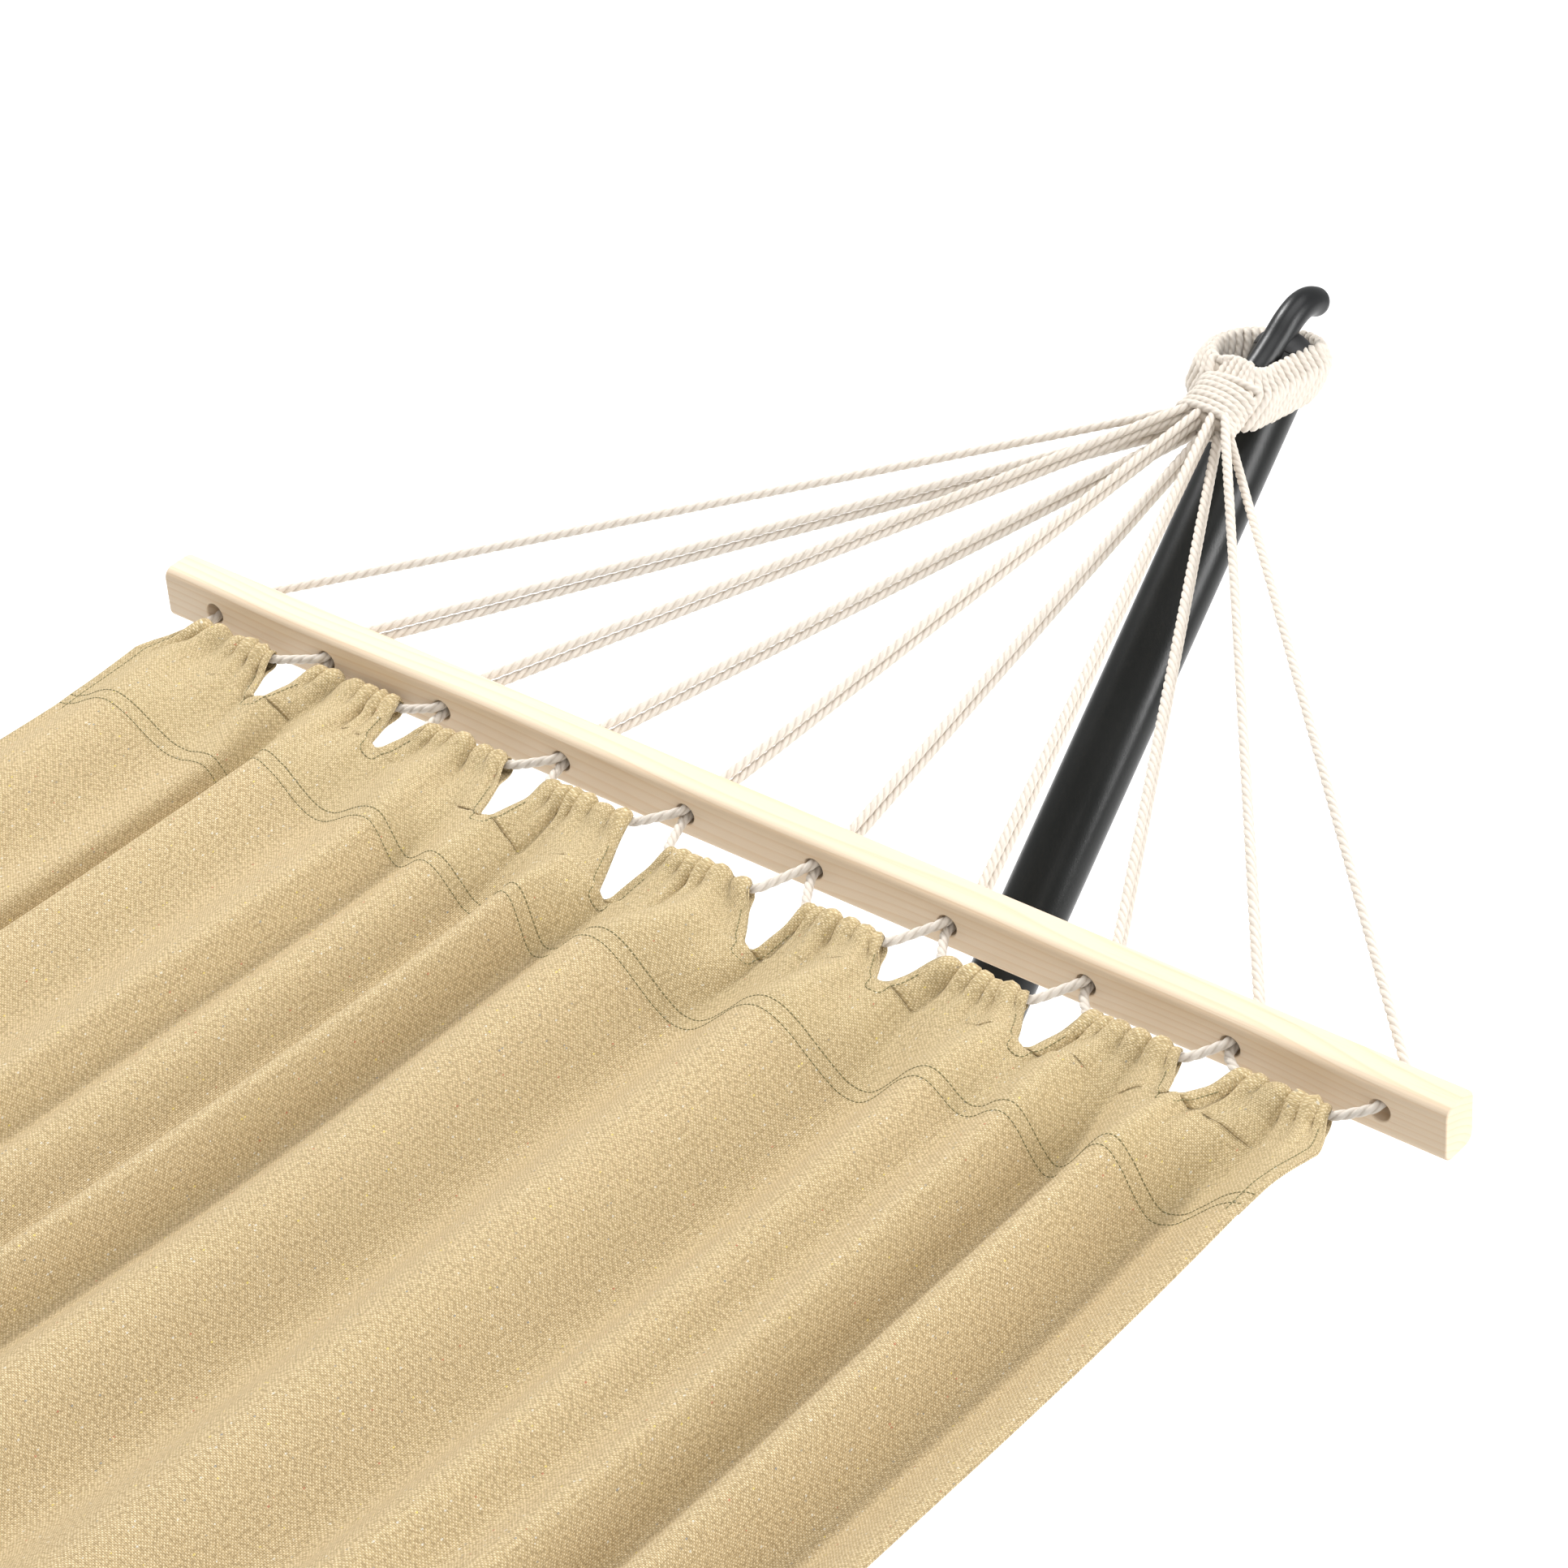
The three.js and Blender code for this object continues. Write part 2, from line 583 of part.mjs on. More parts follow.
function tabSolid(tab) {
  const y = BAR_Y - TAB_INSET[tab];
  const z = BAR_Z + CHANNEL_Z;
  const width = 2 * TAB_HALF[tab];
  const ring = straight(ringShape(CHANNEL_R, CHANNEL_BORE_R, 8), width);
  const start = y - CHANNEL_R + 1;
  const end = BAR_Y + BED_EDGE_Y - 4;
  const tongue = new THREE.BoxGeometry(width, start - end, BED_THICKNESS);
  const fall = Math.atan2(z - bedZ(end), start - end);
  const middle = new THREE.Matrix4().makeRotationX(fall);
  middle.setPosition(TAB_X[tab], (start + end) / 2, (z + bedZ(end)) / 2);
  const left = TAB_X[tab] - TAB_HALF[tab];
  return toSolid(ring, along(X_DIR, left, y, z)).add(toSolid(tongue, middle));
}

function bedGeometry() {
  const solids = [bedSheetSolid()];
  for (let tab = 0; tab < TAB_X.length; tab += 1) {
    const solid = tabSolid(tab);
    solids.push(solid, solid.rotate([0, 0, 180]));
  }
  return toGeometry(joined(solids));
}

// ---- assembly ----

function endGroup(letter, turn) {
  const end = new THREE.Group();
  end.rotation.z = turn;
  const add = (name, geometry, material) => {
    end.add(named(`${name}_${letter}`, geometry, material));
  };
  add('elbow', elbowGeometry(), BLACK_STEEL());
  add('arm_tube', armTubeGeometry(), BLACK_STEEL());
  add('hook_tube', hookTubeGeometry(), BLACK_STEEL());
  add('hook_plug', hookPlugGeometry(), BLACK_PLASTIC());
  add('hook_rod', toGeometry(rodSolid(0)), BLACK_STEEL());
  add('foot_tube', footTubeGeometry(), BLACK_STEEL());
  add('foot_cap_left', footCapGeometry(-1), BLACK_PLASTIC());
  add('foot_cap_right', footCapGeometry(1), BLACK_PLASTIC());
  add('saddle', saddleGeometry(), BLACK_PLASTIC());
  add('foot_bolt', toGeometry(boltSolid(footBoltLength, footBoltPlace)), ZINC());
  add('foot_nut', toGeometry(nutSolid(along(DOWN, 0, FOOT_Y, footNutTop))), ZINC());
  add('base_bolt', toGeometry(boltSolid(crossLength, lowBoltPlace)), ZINC());
  add('base_nut', toGeometry(nutSolid(lowBoltPlace.clone().multiply(nutShift))), ZINC());
  add('arm_bolt', toGeometry(boltSolid(crossLength, highBoltPlace)), ZINC());
  add('arm_nut', toGeometry(nutSolid(highBoltPlace.clone().multiply(nutShift))), ZINC());
  add('hook_screw', toGeometry(screwSolid(screwPlace)), ZINC());
  add('eye_loop', eyeLoopGeometry(), COTTON());
  end.add(barMesh(`spreader_bar_${letter}`));
  for (let tab = 0; tab < TAB_X.length; tab += 1) {
    add(`rope_${tab + 1}`, sweep(discShape(ROPE_R, ROPE_SIDES), ropePoints(tab)), COTTON());
  }
  return end;
}

const hammock = new THREE.Group();
hammock.add(endGroup('a', 0));
hammock.add(endGroup('b', Math.PI));
hammock.add(named('base_tube', baseTubeGeometry(), BLACK_STEEL()));
hammock.add(named('bed_cloth', bedGeometry(), CANVAS()));

export default hammock;
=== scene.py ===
"""The looks of a hammock on a tubular steel stand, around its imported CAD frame.

Metres, +Z up. X runs across the hammock along its spreader bars and Y along its length.
End a lies towards +Y. End b is the same set of pieces turned half round about Z.
"""

import math

import bmesh
import bpy
import numpy as np
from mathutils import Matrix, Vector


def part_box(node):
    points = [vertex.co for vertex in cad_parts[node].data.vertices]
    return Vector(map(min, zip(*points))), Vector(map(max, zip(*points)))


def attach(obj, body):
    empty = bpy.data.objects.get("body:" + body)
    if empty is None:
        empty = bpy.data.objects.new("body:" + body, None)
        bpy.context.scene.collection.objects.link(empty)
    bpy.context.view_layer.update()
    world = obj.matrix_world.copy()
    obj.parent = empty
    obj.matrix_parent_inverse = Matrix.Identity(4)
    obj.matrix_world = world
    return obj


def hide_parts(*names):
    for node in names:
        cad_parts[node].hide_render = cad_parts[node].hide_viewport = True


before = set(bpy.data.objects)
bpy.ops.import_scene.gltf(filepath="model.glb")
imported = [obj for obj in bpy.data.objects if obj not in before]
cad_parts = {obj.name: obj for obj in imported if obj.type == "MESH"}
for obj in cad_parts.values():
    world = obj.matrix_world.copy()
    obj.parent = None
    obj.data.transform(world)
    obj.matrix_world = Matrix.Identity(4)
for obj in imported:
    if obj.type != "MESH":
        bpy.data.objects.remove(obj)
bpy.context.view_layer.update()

MM = 0.001
ENDS = {"a": 1, "b": -1}

# ---- driving dimensions, as the CAD part has them ----

bar_low, bar_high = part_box("spreader_bar_a")
BAR_LENGTH = bar_high.x - bar_low.x
BAR_HEIGHT = 38 * MM
BAR_DEPTH = 28 * MM
BAR_ROUNDING = 7 * MM
BAR_TILT = 0.1
BAR_Y = (bar_low.y + bar_high.y) / 2
BAR_Z = (bar_low.z + bar_high.z) / 2
HOLE_COUNT = 10
HOLE_PITCH = 101.3 * MM
HOLE_R = 7 * MM

ROPE_R = 3 * MM
ROPE_LAY = 23 * MM
PAIR_RISE = 3.35 * MM
ROPE_REACH = 3.6 * MM

NECK_Y = 462 * MM
NECK_Z = 96 * MM
NECK_SLOT = 4.4 * MM
NECK_LAYER = 6.7 * MM

TAB_X = [-422, -316, -214, -109, -1, 101, 202, 304, 404]
TAB_HALF = [32, 34, 33, 31, 30, 26, 28, 30, 28]
TAB_INSET = [29, 24, 33, 38, 51, 48, 44, 36, 31]
CHANNEL_Z = -6 * MM
BED_HALF = 930 * MM
BED_SAG = 56 * MM

TUBE_R = 24 * MM
WALL = 1.5 * MM
GAP = 0.3 * MM
LIP = 0.4 * MM                # rounding of a tube's cut end
SPIGOT_R = TUBE_R - WALL - GAP
SPIGOT_LENGTH = 80 * MM
ARM_ANGLE = math.radians(49)
ARM_RIM_Y = BAR_Y + 541 * MM
ARM_RIM_Z = BAR_Z + 91 * MM
ARM_LENGTH = 900 * MM
BEND_R = 220 * MM
BASE_HALF = 400 * MM
BASE_Z = 78 * MM
HOOK_TUBE_OUT = 25 * MM
HOOK_TUBE_IN = 150 * MM
PLUG_DOME = 19 * MM
ROD_R = 10.3 * MM
ROD_LINE = [
    (4.5, 25.6), (12.7, 22.4), (29.4, 17.8), (39.8, 15.8), (46, 14.4), (52, 12), (57, 9.6), (61.5, 6.4),
    (65.5, 2), (68.4, -3), (69.8, -8.5),
]

EYE_PLANE = 13 * MM
EYE_DROP = 0.03
# Rounds inside the loop, as (towards the bed from the arm's axis, across it, radius).
EYE_ROUNDS = [(-4.5, 0, 24.8), (22, -10, 28), (50, 10, 12)]
EYE_THICKNESS = 7 * MM
EYE_WIDTH = 42 * MM
EYE_LEAN = 10 * MM            # how far the bundle's top leans in over the plug
EYE_RISE = 6 * MM             # the wrapped bundle's middle, up the arm from the loop's plane

FOOT_Y = 500 * MM
FOOT_Z = 30 * MM
FOOT_R = 19 * MM
FOOT_HALF = 548 * MM
CAP_DEPTH = 40 * MM
CAP_END = 5 * MM
CAP_R = 25 * MM
CAP_FLAT = 34 * MM
CAP_SHOULDER = 0.18

# ---- node materials ----


class Nodes:
    """Builds a node material: each call adds a node and returns it."""

    def __init__(self, name):
        self.material = bpy.data.materials.new(name)
        self.material.use_nodes = True
        self.tree = self.material.node_tree
        self.shader = self.tree.nodes["Principled BSDF"]

    def add(self, kind, inputs=None, **settings):
        node = self.tree.nodes.new("ShaderNode" + kind)
        for key, value in settings.items():
            setattr(node, key, value)
        for key, value in (inputs or {}).items():
            self.put(node.inputs[key], value)
        return node

    def put(self, socket, value):
        if isinstance(value, bpy.types.NodeSocket):
            self.tree.links.new(value, socket)
        elif isinstance(value, bpy.types.Node):
            self.tree.links.new(value.outputs[0], socket)
        else:
            socket.default_value = value

    def math(self, operation, a, b=0.0):
        return self.add("Math", {0: a, 1: b}, operation=operation)

    def scaled(self, value, factor, offset, clamp=False):
        inputs = {0: value, 1: factor, 2: offset}
        return self.add("Math", inputs, operation="MULTIPLY_ADD", use_clamp=clamp)

    def noise(self, vector, scale, detail=3.0):
        values = {"Vector": vector, "Scale": scale, "Detail": detail, "Roughness": 0.55}
        return self.add("TexNoise", values)

    def stretched(self, vector, scale):
        return self.add("Mapping", {"Vector": vector, "Scale": scale})

    def stretched_noise(self, vector, scale, detail=3.0):
        return self.noise(self.stretched(vector, scale), 1.0, detail)

    def mix(self, share, first, second):
        node = self.add("Mix", data_type="RGBA")
        self.put(node.inputs[0], share)
        self.put(node.inputs[6], first)
        self.put(node.inputs[7], second)
        return node.outputs[2]

    def tint(self, color, mask, share, shade):
        """The colour turned towards a shade by a share of the mask."""
        return self.mix(self.math("MULTIPLY", mask, share), color, shade)

    def ramp(self, value, stops):
        node = self.add("ValToRGB", {0: value})
        elements = node.color_ramp.elements
        while len(elements) < len(stops):
            elements.new(0.5)
        for element, (place, shade) in zip(elements, stops):
            element.position = place
            element.color = shade if len(shade) == 4 else (*shade, 1)
        return node

    def mask(self, value, full, none):
        """White at one value and black at the other."""
        low, high = sorted([(full, grey(1)), (none, grey(0))])
        return self.ramp(value, [low, high])

    def finish(self, color, roughness, height=None, distance=0.001, strength=1.0, **constants):
        """Colour, roughness and bump can be nodes; the rest are plain numbers on the shader."""
        self.put(self.shader.inputs["Base Color"], color)
        self.put(self.shader.inputs["Roughness"], roughness)
        if height is not None:
            bump = self.add("Bump", {"Strength": strength, "Distance": distance, "Height": height})
            self.put(self.shader.inputs["Normal"], bump)
        for key, value in constants.items():
            self.shader.inputs[key.replace("_", " ")].default_value = value
        return self.material


def grey(value):
    return (value, value, value, 1)


def object_place(nodes):
    return nodes.add("TexCoord").outputs["Object"]


def steel_material(name, dark, light, roughness, specular):
    """Powder-coated steel: a fine orange peel, a cloudy shift between two darks and fine specks turned paler.
    """
    nodes = Nodes(name)
    place = object_place(nodes)
    peel = nodes.noise(place, 900, detail=2)
    cloud = nodes.noise(place, 14, detail=5)
    speck = nodes.noise(place, 2600, detail=1)
    color = nodes.mix(nodes.mask(cloud, 0.75, 0.35), dark, light)
    color = nodes.tint(color, speck, 0.25, (*[3 * c for c in light[:3]], 1))
    rough = nodes.scaled(cloud, 0.16, roughness - 0.08)
    height = nodes.math("ADD", peel, nodes.math("MULTIPLY", speck, 0.4))
    return nodes.finish(color, rough, height, 0.00012, 0.6, Specular_IOR_Level=specular)


def plastic_material():
    nodes = Nodes("black_plastic")
    place = object_place(nodes)
    grain = nodes.add("TexVoronoi", {"Vector": place, "Scale": 900}).outputs["Distance"]
    cloud = nodes.noise(place, 25)
    color = nodes.mix(cloud, (0.006, 0.006, 0.007, 1), (0.014, 0.014, 0.015, 1))
    return nodes.finish(color, nodes.scaled(cloud, 0.2, 0.42), grain, 0.0001, 0.5)


def zinc_material():
    nodes = Nodes("zinc_steel")
    place = object_place(nodes)
    spangle = nodes.add("TexVoronoi", {"Vector": place, "Scale": 420}).outputs["Color"]
    cloud = nodes.noise(place, 60, detail=4)
    color = nodes.mix(cloud, (0.42, 0.43, 0.42, 1), (0.68, 0.68, 0.66, 1))
    return nodes.finish(color, nodes.scaled(spangle, 0.18, 0.26), cloud, 0.0002, 0.3, Metallic=1.0)


def pine_material():
    """Growth rings about a line far below the bar, drawn out along X, with pores and a few knots."""
    nodes = Nodes("pine")
    place = object_place(nodes)
    split = nodes.add("SeparateXYZ", {0: place})
    slow = nodes.stretched_noise(place, (1.6, 5, 5), detail=2)
    fine = nodes.stretched_noise(place, (5, 60, 60))
    bend = nodes.math("MULTIPLY", slow, 0.062)
    y = nodes.math("ADD", split.outputs[1], nodes.math("ADD", bend, 0.03))
    z = nodes.math("ADD", split.outputs[2], nodes.scaled(slow, 0.03, 0.055))
    radius = nodes.math("SQRT", nodes.math("ADD", nodes.math("MULTIPLY", y, y), nodes.math("MULTIPLY", z, z)))
    radius = nodes.math("ADD", radius, nodes.math("MULTIPLY", fine, 0.0016))
    ring = nodes.math("FRACT", nodes.math("MULTIPLY", radius, 210))
    late = nodes.ramp(ring, [(0.0, grey(0.05)), (0.62, grey(0.25)), (0.9, grey(1)), (1.0, grey(0.1))])
    fibre = nodes.stretched_noise(place, (14, 1500, 1500))
    tone = nodes.stretched_noise(place, (3, 30, 30), detail=2)
    pale = nodes.mix(tone, (0.79, 0.67, 0.52, 1), (0.73, 0.58, 0.42, 1))
    color = nodes.tint(pale, late, 0.46, (0.66, 0.46, 0.27, 1))
    fleck = nodes.mask(fibre, 0.30, 0.42)
    color = nodes.tint(color, fleck, 0.22, (0.55, 0.36, 0.20, 1))
    cells = nodes.add("TexVoronoi", {"Vector": nodes.stretched(place, (2.6, 9, 9)), "Scale": 1.0})
    knot = nodes.mask(cells.outputs["Distance"], 0.05, 0.11)
    color = nodes.tint(color, knot, 0.4, (0.42, 0.24, 0.11, 1))
    height = nodes.math("SUBTRACT", nodes.math("MULTIPLY", fibre, 0.7), nodes.math("MULTIPLY", late, 0.35))
    return nodes.finish(color, nodes.scaled(fibre, 0.25, 0.5), height, 0.0003, 0.5, Specular_IOR_Level=0.3)


def rope_material():
    """UV: u runs along a strand in metres and v across it, so the yarns lie along the strand."""
    nodes = Nodes("cotton_rope")
    uv = nodes.add("UVMap")
    yarn = nodes.stretched_noise(uv, (120, 2600, 1))
    fuzz = nodes.noise(object_place(nodes), 1500, detail=3)
    cloud = nodes.noise(object_place(nodes), 22, detail=2)
    groove_shade = nodes.add("Attribute", attribute_name="groove_shade").outputs["Fac"]
    color = nodes.mix(cloud, (0.74, 0.68, 0.60, 1), (0.79, 0.73, 0.66, 1))
    color = nodes.tint(color, yarn, 0.30, (0.66, 0.59, 0.50, 1))
    # painted shade: the grooves between the strands are darkened in colour by the groove attribute
    color = nodes.tint(color, groove_shade, 0.55, (0.44, 0.36, 0.28, 1))
    height = nodes.math("ADD", yarn, nodes.math("MULTIPLY", fuzz, 0.6))
    return nodes.finish(color, 0.92, height, 0.0005, 0.7, Specular_IOR_Level=0.15, Sheen_Weight=0.15)


THREAD_PITCH = 1.2 * MM


def canvas_material():
    """A plain weave on UVs that are metres of flat cloth, with slubs, coloured flecks, paler weft and painted
    shade in the pits between the threads.
    """
    nodes = Nodes("canvas")
    uv = nodes.add("UVMap")
    wander = nodes.noise(uv, 60, detail=2).outputs["Color"]
    drift = nodes.add("VectorMath", {0: wander, "Scale": 0.0009}, operation="SCALE")
    place = nodes.add("VectorMath", {0: uv, 1: drift}, operation="ADD")
    split = nodes.add("SeparateXYZ", {0: place})
    turn = math.pi / THREAD_PITCH
    across = nodes.math("SINE", nodes.math("MULTIPLY", split.outputs[0], turn))
    along = nodes.math("SINE", nodes.math("MULTIPLY", split.outputs[1], turn))
    cross = nodes.math("MULTIPLY", across, along)
    over = nodes.scaled(cross, 0.9, 0.5, clamp=True)
    hump = nodes.math("POWER", nodes.math("ABSOLUTE", cross), 0.6)
    slub = nodes.stretched_noise(uv, (40, 900, 1))
    streak = nodes.stretched_noise(uv, (900, 30, 1))
    cloud = nodes.noise(uv, 9, detail=4)
    warp = nodes.mix(slub, (0.72, 0.56, 0.32, 1), (1.0, 0.85, 0.58, 1))
    weft = nodes.mix(streak, (0.42, 0.30, 0.14, 1), (0.74, 0.57, 0.31, 1))
    color = nodes.mix(over, weft, warp)
    pit_shade = nodes.math("SUBTRACT", 1.0, hump)
    # painted shade: the low places between the threads are darkened in colour
    color = nodes.tint(color, pit_shade, 0.45, (0.30, 0.21, 0.10, 1))
    grain = nodes.mask(nodes.noise(uv, 460, detail=2), 0.38, 0.56)
    color = nodes.tint(color, grain, 0.76, (0.36, 0.26, 0.13, 1))
    color = nodes.tint(color, cloud, 0.14, (0.55, 0.42, 0.22, 1))
    cells = nodes.add("TexVoronoi", {"Vector": nodes.stretched(uv, (520, 330, 1)), "Scale": 1.0})
    pick = nodes.add("SeparateXYZ", {0: cells.outputs["Color"]})
    near = nodes.math("LESS_THAN", cells.outputs["Distance"], 0.30)
    chosen = nodes.math("MULTIPLY", near, nodes.math("GREATER_THAN", pick.outputs[0], 0.94))
    fleck = nodes.ramp(pick.outputs[1], [
        (0.0, (0.80, 0.79, 0.72)), (0.45, (0.86, 0.70, 0.16)), (0.62, (0.32, 0.30, 0.26)),
        (0.86, (0.52, 0.12, 0.07)), (0.93, (0.22, 0.26, 0.30)),
    ])
    fleck.color_ramp.interpolation = "CONSTANT"
    color = nodes.tint(color, chosen, 0.62, fleck)
    hem = nodes.add("Attribute", attribute_name="hem").outputs["Fac"]
    color = nodes.tint(color, hem, 0.12, (0.42, 0.37, 0.19, 1))
    height = nodes.math("ADD", nodes.math("MULTIPLY", hump, 0.8), nodes.math("MULTIPLY", slub, 0.5))
    return nodes.finish(color, 0.95, height, 0.0006, 0.8, Specular_IOR_Level=0.12, Sheen_Weight=0.12)


def thread_material():
    nodes = Nodes("stitch_thread")
    ply = nodes.noise(object_place(nodes), 1800, detail=2)
    color = nodes.mix(ply, (0.15, 0.135, 0.055, 1), (0.24, 0.22, 0.10, 1))
    return nodes.finish(color, 0.7, ply, 0.0001, 0.5)


def floor_material():
    nodes = Nodes("floor")
    soft = nodes.noise(object_place(nodes), 3, detail=2)
    return nodes.finish(nodes.mix(soft, grey(0.93), grey(0.95)), 0.9)


STEEL = steel_material("black_steel", (0.0045, 0.005, 0.0045, 1), (0.008, 0.0085, 0.008, 1), 0.30, 0.26)
ENAMEL = steel_material("hook_enamel", (0.006, 0.0065, 0.007, 1), (0.010, 0.0105, 0.011, 1), 0.34, 0.30)
PLASTIC = plastic_material()
ZINC = zinc_material()
PINE = pine_material()
ROPE = rope_material()
CANVAS = canvas_material()
THREAD = thread_material()

# ---- mesh building ----


def add_mesh(name, points, faces, material, uv=None, attributes=None, sharp=None):
    """A smooth mesh object. uv is per point; sharp is the angle in degrees over which edges stay crisp."""
    mesh = bpy.data.meshes.new(name)
    mesh.from_pydata(np.asarray(points).tolist(), [], [list(face) for face in faces])
    mesh.materials.append(material)
    mesh.shade_smooth()
    if sharp is not None:
        mesh.set_sharp_from_angle(angle=math.radians(sharp))
    if uv is not None:
        corners = np.empty(len(mesh.loops), np.int32)
        mesh.loops.foreach_get("vertex_index", corners)
        layer = mesh.uv_layers.new(name="UVMap")
        layer.data.foreach_set("uv", np.asarray(uv, np.float32)[corners].ravel())
    for key, values in (attributes or {}).items():
        attribute = mesh.attributes.new(key, "FLOAT", "POINT")
        attribute.data.foreach_set("value", np.asarray(values, np.float32).ravel())
    piece = bpy.data.objects.new(name, mesh)
    bpy.context.scene.collection.objects.link(piece)
    return piece


def grid_faces(rows, columns, around=False, start=0):
    """Quads between the rows of a point grid; around closes each row on itself."""
    column = np.arange(columns if around else columns - 1)
    following = (column + 1) % columns
    row = np.arange(rows - 1)[:, None] * columns + start
    quads = np.stack([row + column, row + following, row + columns + following, row + columns + column], -1)
    return quads.reshape(-1, 4).tolist()


def closed_faces(rows, columns, start=0):
    """Quads round a stack of rings, and one face over each end."""
    last = start + (rows - 1) * columns
    ends = [list(range(start, start + columns))[::-1], list(range(last, last + columns))]
    return grid_faces(rows, columns, around=True, start=start) + ends


def full_turn(count):
    """Even angles once round."""
    return 2 * math.pi * np.arange(count) / count


def place(piece, body, slot, *nodes):
    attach(piece, body)
    if nodes:
        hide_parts(*nodes)


def at_end(points, end):
    """Points built for end a, as they lie at either end."""
    turned = np.array(points, float)
    turned[..., :2] *= ENDS[end]
    return turned


def unit(vectors):
    vectors = np.asarray(vectors, float)
    return vectors / np.linalg.norm(vectors, axis=-1, keepdims=True)


def path_frames(path):
    """Tangent, side and up at each point, turned along the path without twist."""
    tangents = unit(np.gradient(path, axis=0))
    sides = np.empty_like(path)
    side = np.array((1.0, 0.0, 0.0))
    if abs(side @ tangents[0]) > 0.9:
        side = np.array((0.0, 0.0, 1.0))
    for i, tangent in enumerate(tangents):
        side = side - (side @ tangent) * tangent
        side = side / np.linalg.norm(side)
        sides[i] = side
    return tangents, sides, np.cross(tangents, sides)


def lengths_along(path):
    steps = np.linalg.norm(np.diff(path, axis=0), axis=1)
    return np.concatenate([[0], np.cumsum(steps)])


def at_lengths(at, run, values):
    """Values given along a line, read at other lengths along it."""
    return np.stack([np.interp(at, run, column) for column in values.T], -1)


def smooth_path(points, step, passes=2, window=5):
    """Listed points as an even, softly rounded line whose two ends stay where they are."""
    points = np.array(points, float)
    run = lengths_along(points)
    count = max(int(run[-1] / step), 4)
    even = np.linspace(0, run[-1], count + 1)
    path = at_lengths(even, run, points)
    kernel = np.ones(window) / window
    half = window // 2
    for _ in range(passes):
        padded = np.concatenate([
            2 * path[:1] - path[half:0:-1], path, 2 * path[-1:] - path[-2:-half - 2:-1]])
        path = np.stack([np.convolve(padded[:, k], kernel, "valid") for k in range(3)], 1)
    return path


def turned_piece(name, path, profile, material, sides=64, end="a", sharp=35):
    """Rings round a path, by a profile of (distance along it, radius) that runs on straight past its ends."""
    path = np.array(path, float)
    run = lengths_along(path)
    tangents, side, up = path_frames(path)
    rings = []
    angle = full_turn(sides)
    for distance, radius in profile:
        inside = min(max(distance, 0), run[-1])
        at = min(int(np.searchsorted(run, inside)), len(path) - 1)
        centre = at_lengths(inside, run, path) + tangents[at] * (distance - inside)
        ring = np.outer(np.cos(angle), side[at]) + np.outer(np.sin(angle), up[at])
        rings.append(centre + radius * ring)
    points = at_end(np.concatenate(rings), end)
    faces = closed_faces(len(rings), sides)
    if profile[0] == profile[-1]:
        last = (len(rings) - 1) * sides
        faces = [[i % last for i in face] for face in faces[:-2]]
        points = points[:last]
    return add_mesh(name, points, faces, material, sharp=sharp)


def rim(distance, outer, inner, inward):
    """The rounded lip of a tube's cut end: inward is the direction back into the tube, 1 or -1."""
    return [
        (distance + inward * LIP, outer), (distance + inward * LIP * 0.3, outer - LIP * 0.3),
        (distance, outer - LIP), (distance, inner + LIP),
        (distance + inward * LIP * 0.3, inner + LIP * 0.3), (distance + inward * LIP, inner),
    ]


def tube_profile(start, stop, outer, inner):
    """Closed profile of a plain tube between two distances."""
    low = rim(start, outer, inner, 1)
    high = rim(stop, outer, inner, -1)
    return [*low[::-1], *high, low[-1]]


def finished(piece, *modifiers):
    """Applies modifiers given as (kind, settings), and leaves a plain mesh."""
    for kind, settings in modifiers:
        modifier = piece.modifiers.new(kind.title(), kind)
        for key, value in settings.items():
            setattr(modifier, key, value)
    bpy.context.view_layer.update()
    evaluated = piece.evaluated_get(bpy.context.evaluated_depsgraph_get())
    mesh = bpy.data.meshes.new_from_object(evaluated)
    piece.modifiers.clear()
    piece.data = mesh
    return piece


# ---- the stand ----

ARM_DIR = np.array((0, math.cos(ARM_ANGLE), math.sin(ARM_ANGLE)))
OFF_DIR = np.array((0, -math.sin(ARM_ANGLE), math.cos(ARM_ANGLE)))
X_DIR = np.array((1.0, 0, 0))
ARM_RIM = np.array((0, ARM_RIM_Y, ARM_RIM_Z))


def arm_point(distance, off=0.0, x=0.0):
    return ARM_RIM + distance * ARM_DIR + off * OFF_DIR + x * X_DIR


def straight_line(start, direction, length):
    return [np.array(start) + direction * length * share for share in (0, 0.5, 1)]


def straight_tube(name, node, start, direction, length, outer, end="a", sides=64):
    profile = tube_profile(0, length, outer, outer - WALL)
    line = straight_line(start, direction, length)
    piece = turned_piece(name, line, profile, STEEL, sides=sides, end=end)
    place(piece, "stand", "black_steel", node)


def elbow(end):
    """The bent tube with a reduced spigot at both ends."""
    corner = ARM_RIM_Y - (ARM_RIM_Z - BASE_Z) / math.tan(ARM_ANGLE)
    tangent = BEND_R * math.tan(ARM_ANGLE / 2)
    line = [(0, BASE_HALF + GAP, BASE_Z)]
    for angle in np.linspace(0, ARM_ANGLE, 40):
        line.append((0, corner - tangent + BEND_R * math.sin(angle), BASE_Z + BEND_R * (1 - math.cos(angle))))
    line.append(tuple(arm_point(-ARM_LENGTH - GAP)))
    length = lengths_along(np.array(line))[-1]
    bore = SPIGOT_R - WALL
    outside = [(-SPIGOT_LENGTH, SPIGOT_R), (-GAP, SPIGOT_R), (0, TUBE_R - LIP), (LIP, TUBE_R)]
    bends = [(distance, TUBE_R) for distance in np.linspace(0.1 * length, 0.9 * length, 60)]
    far = [(length - distance, radius) for distance, radius in outside[::-1]]
    inside = [(distance, bore) for distance in np.linspace(length + SPIGOT_LENGTH, -SPIGOT_LENGTH, 60)]
    profile = [*outside, *bends, *far, *inside, outside[0]]
    piece = turned_piece(f"elbow_tube_{end}", line, profile, STEEL, end=end)
    place(piece, "stand", "black_steel", f"elbow_{end}")


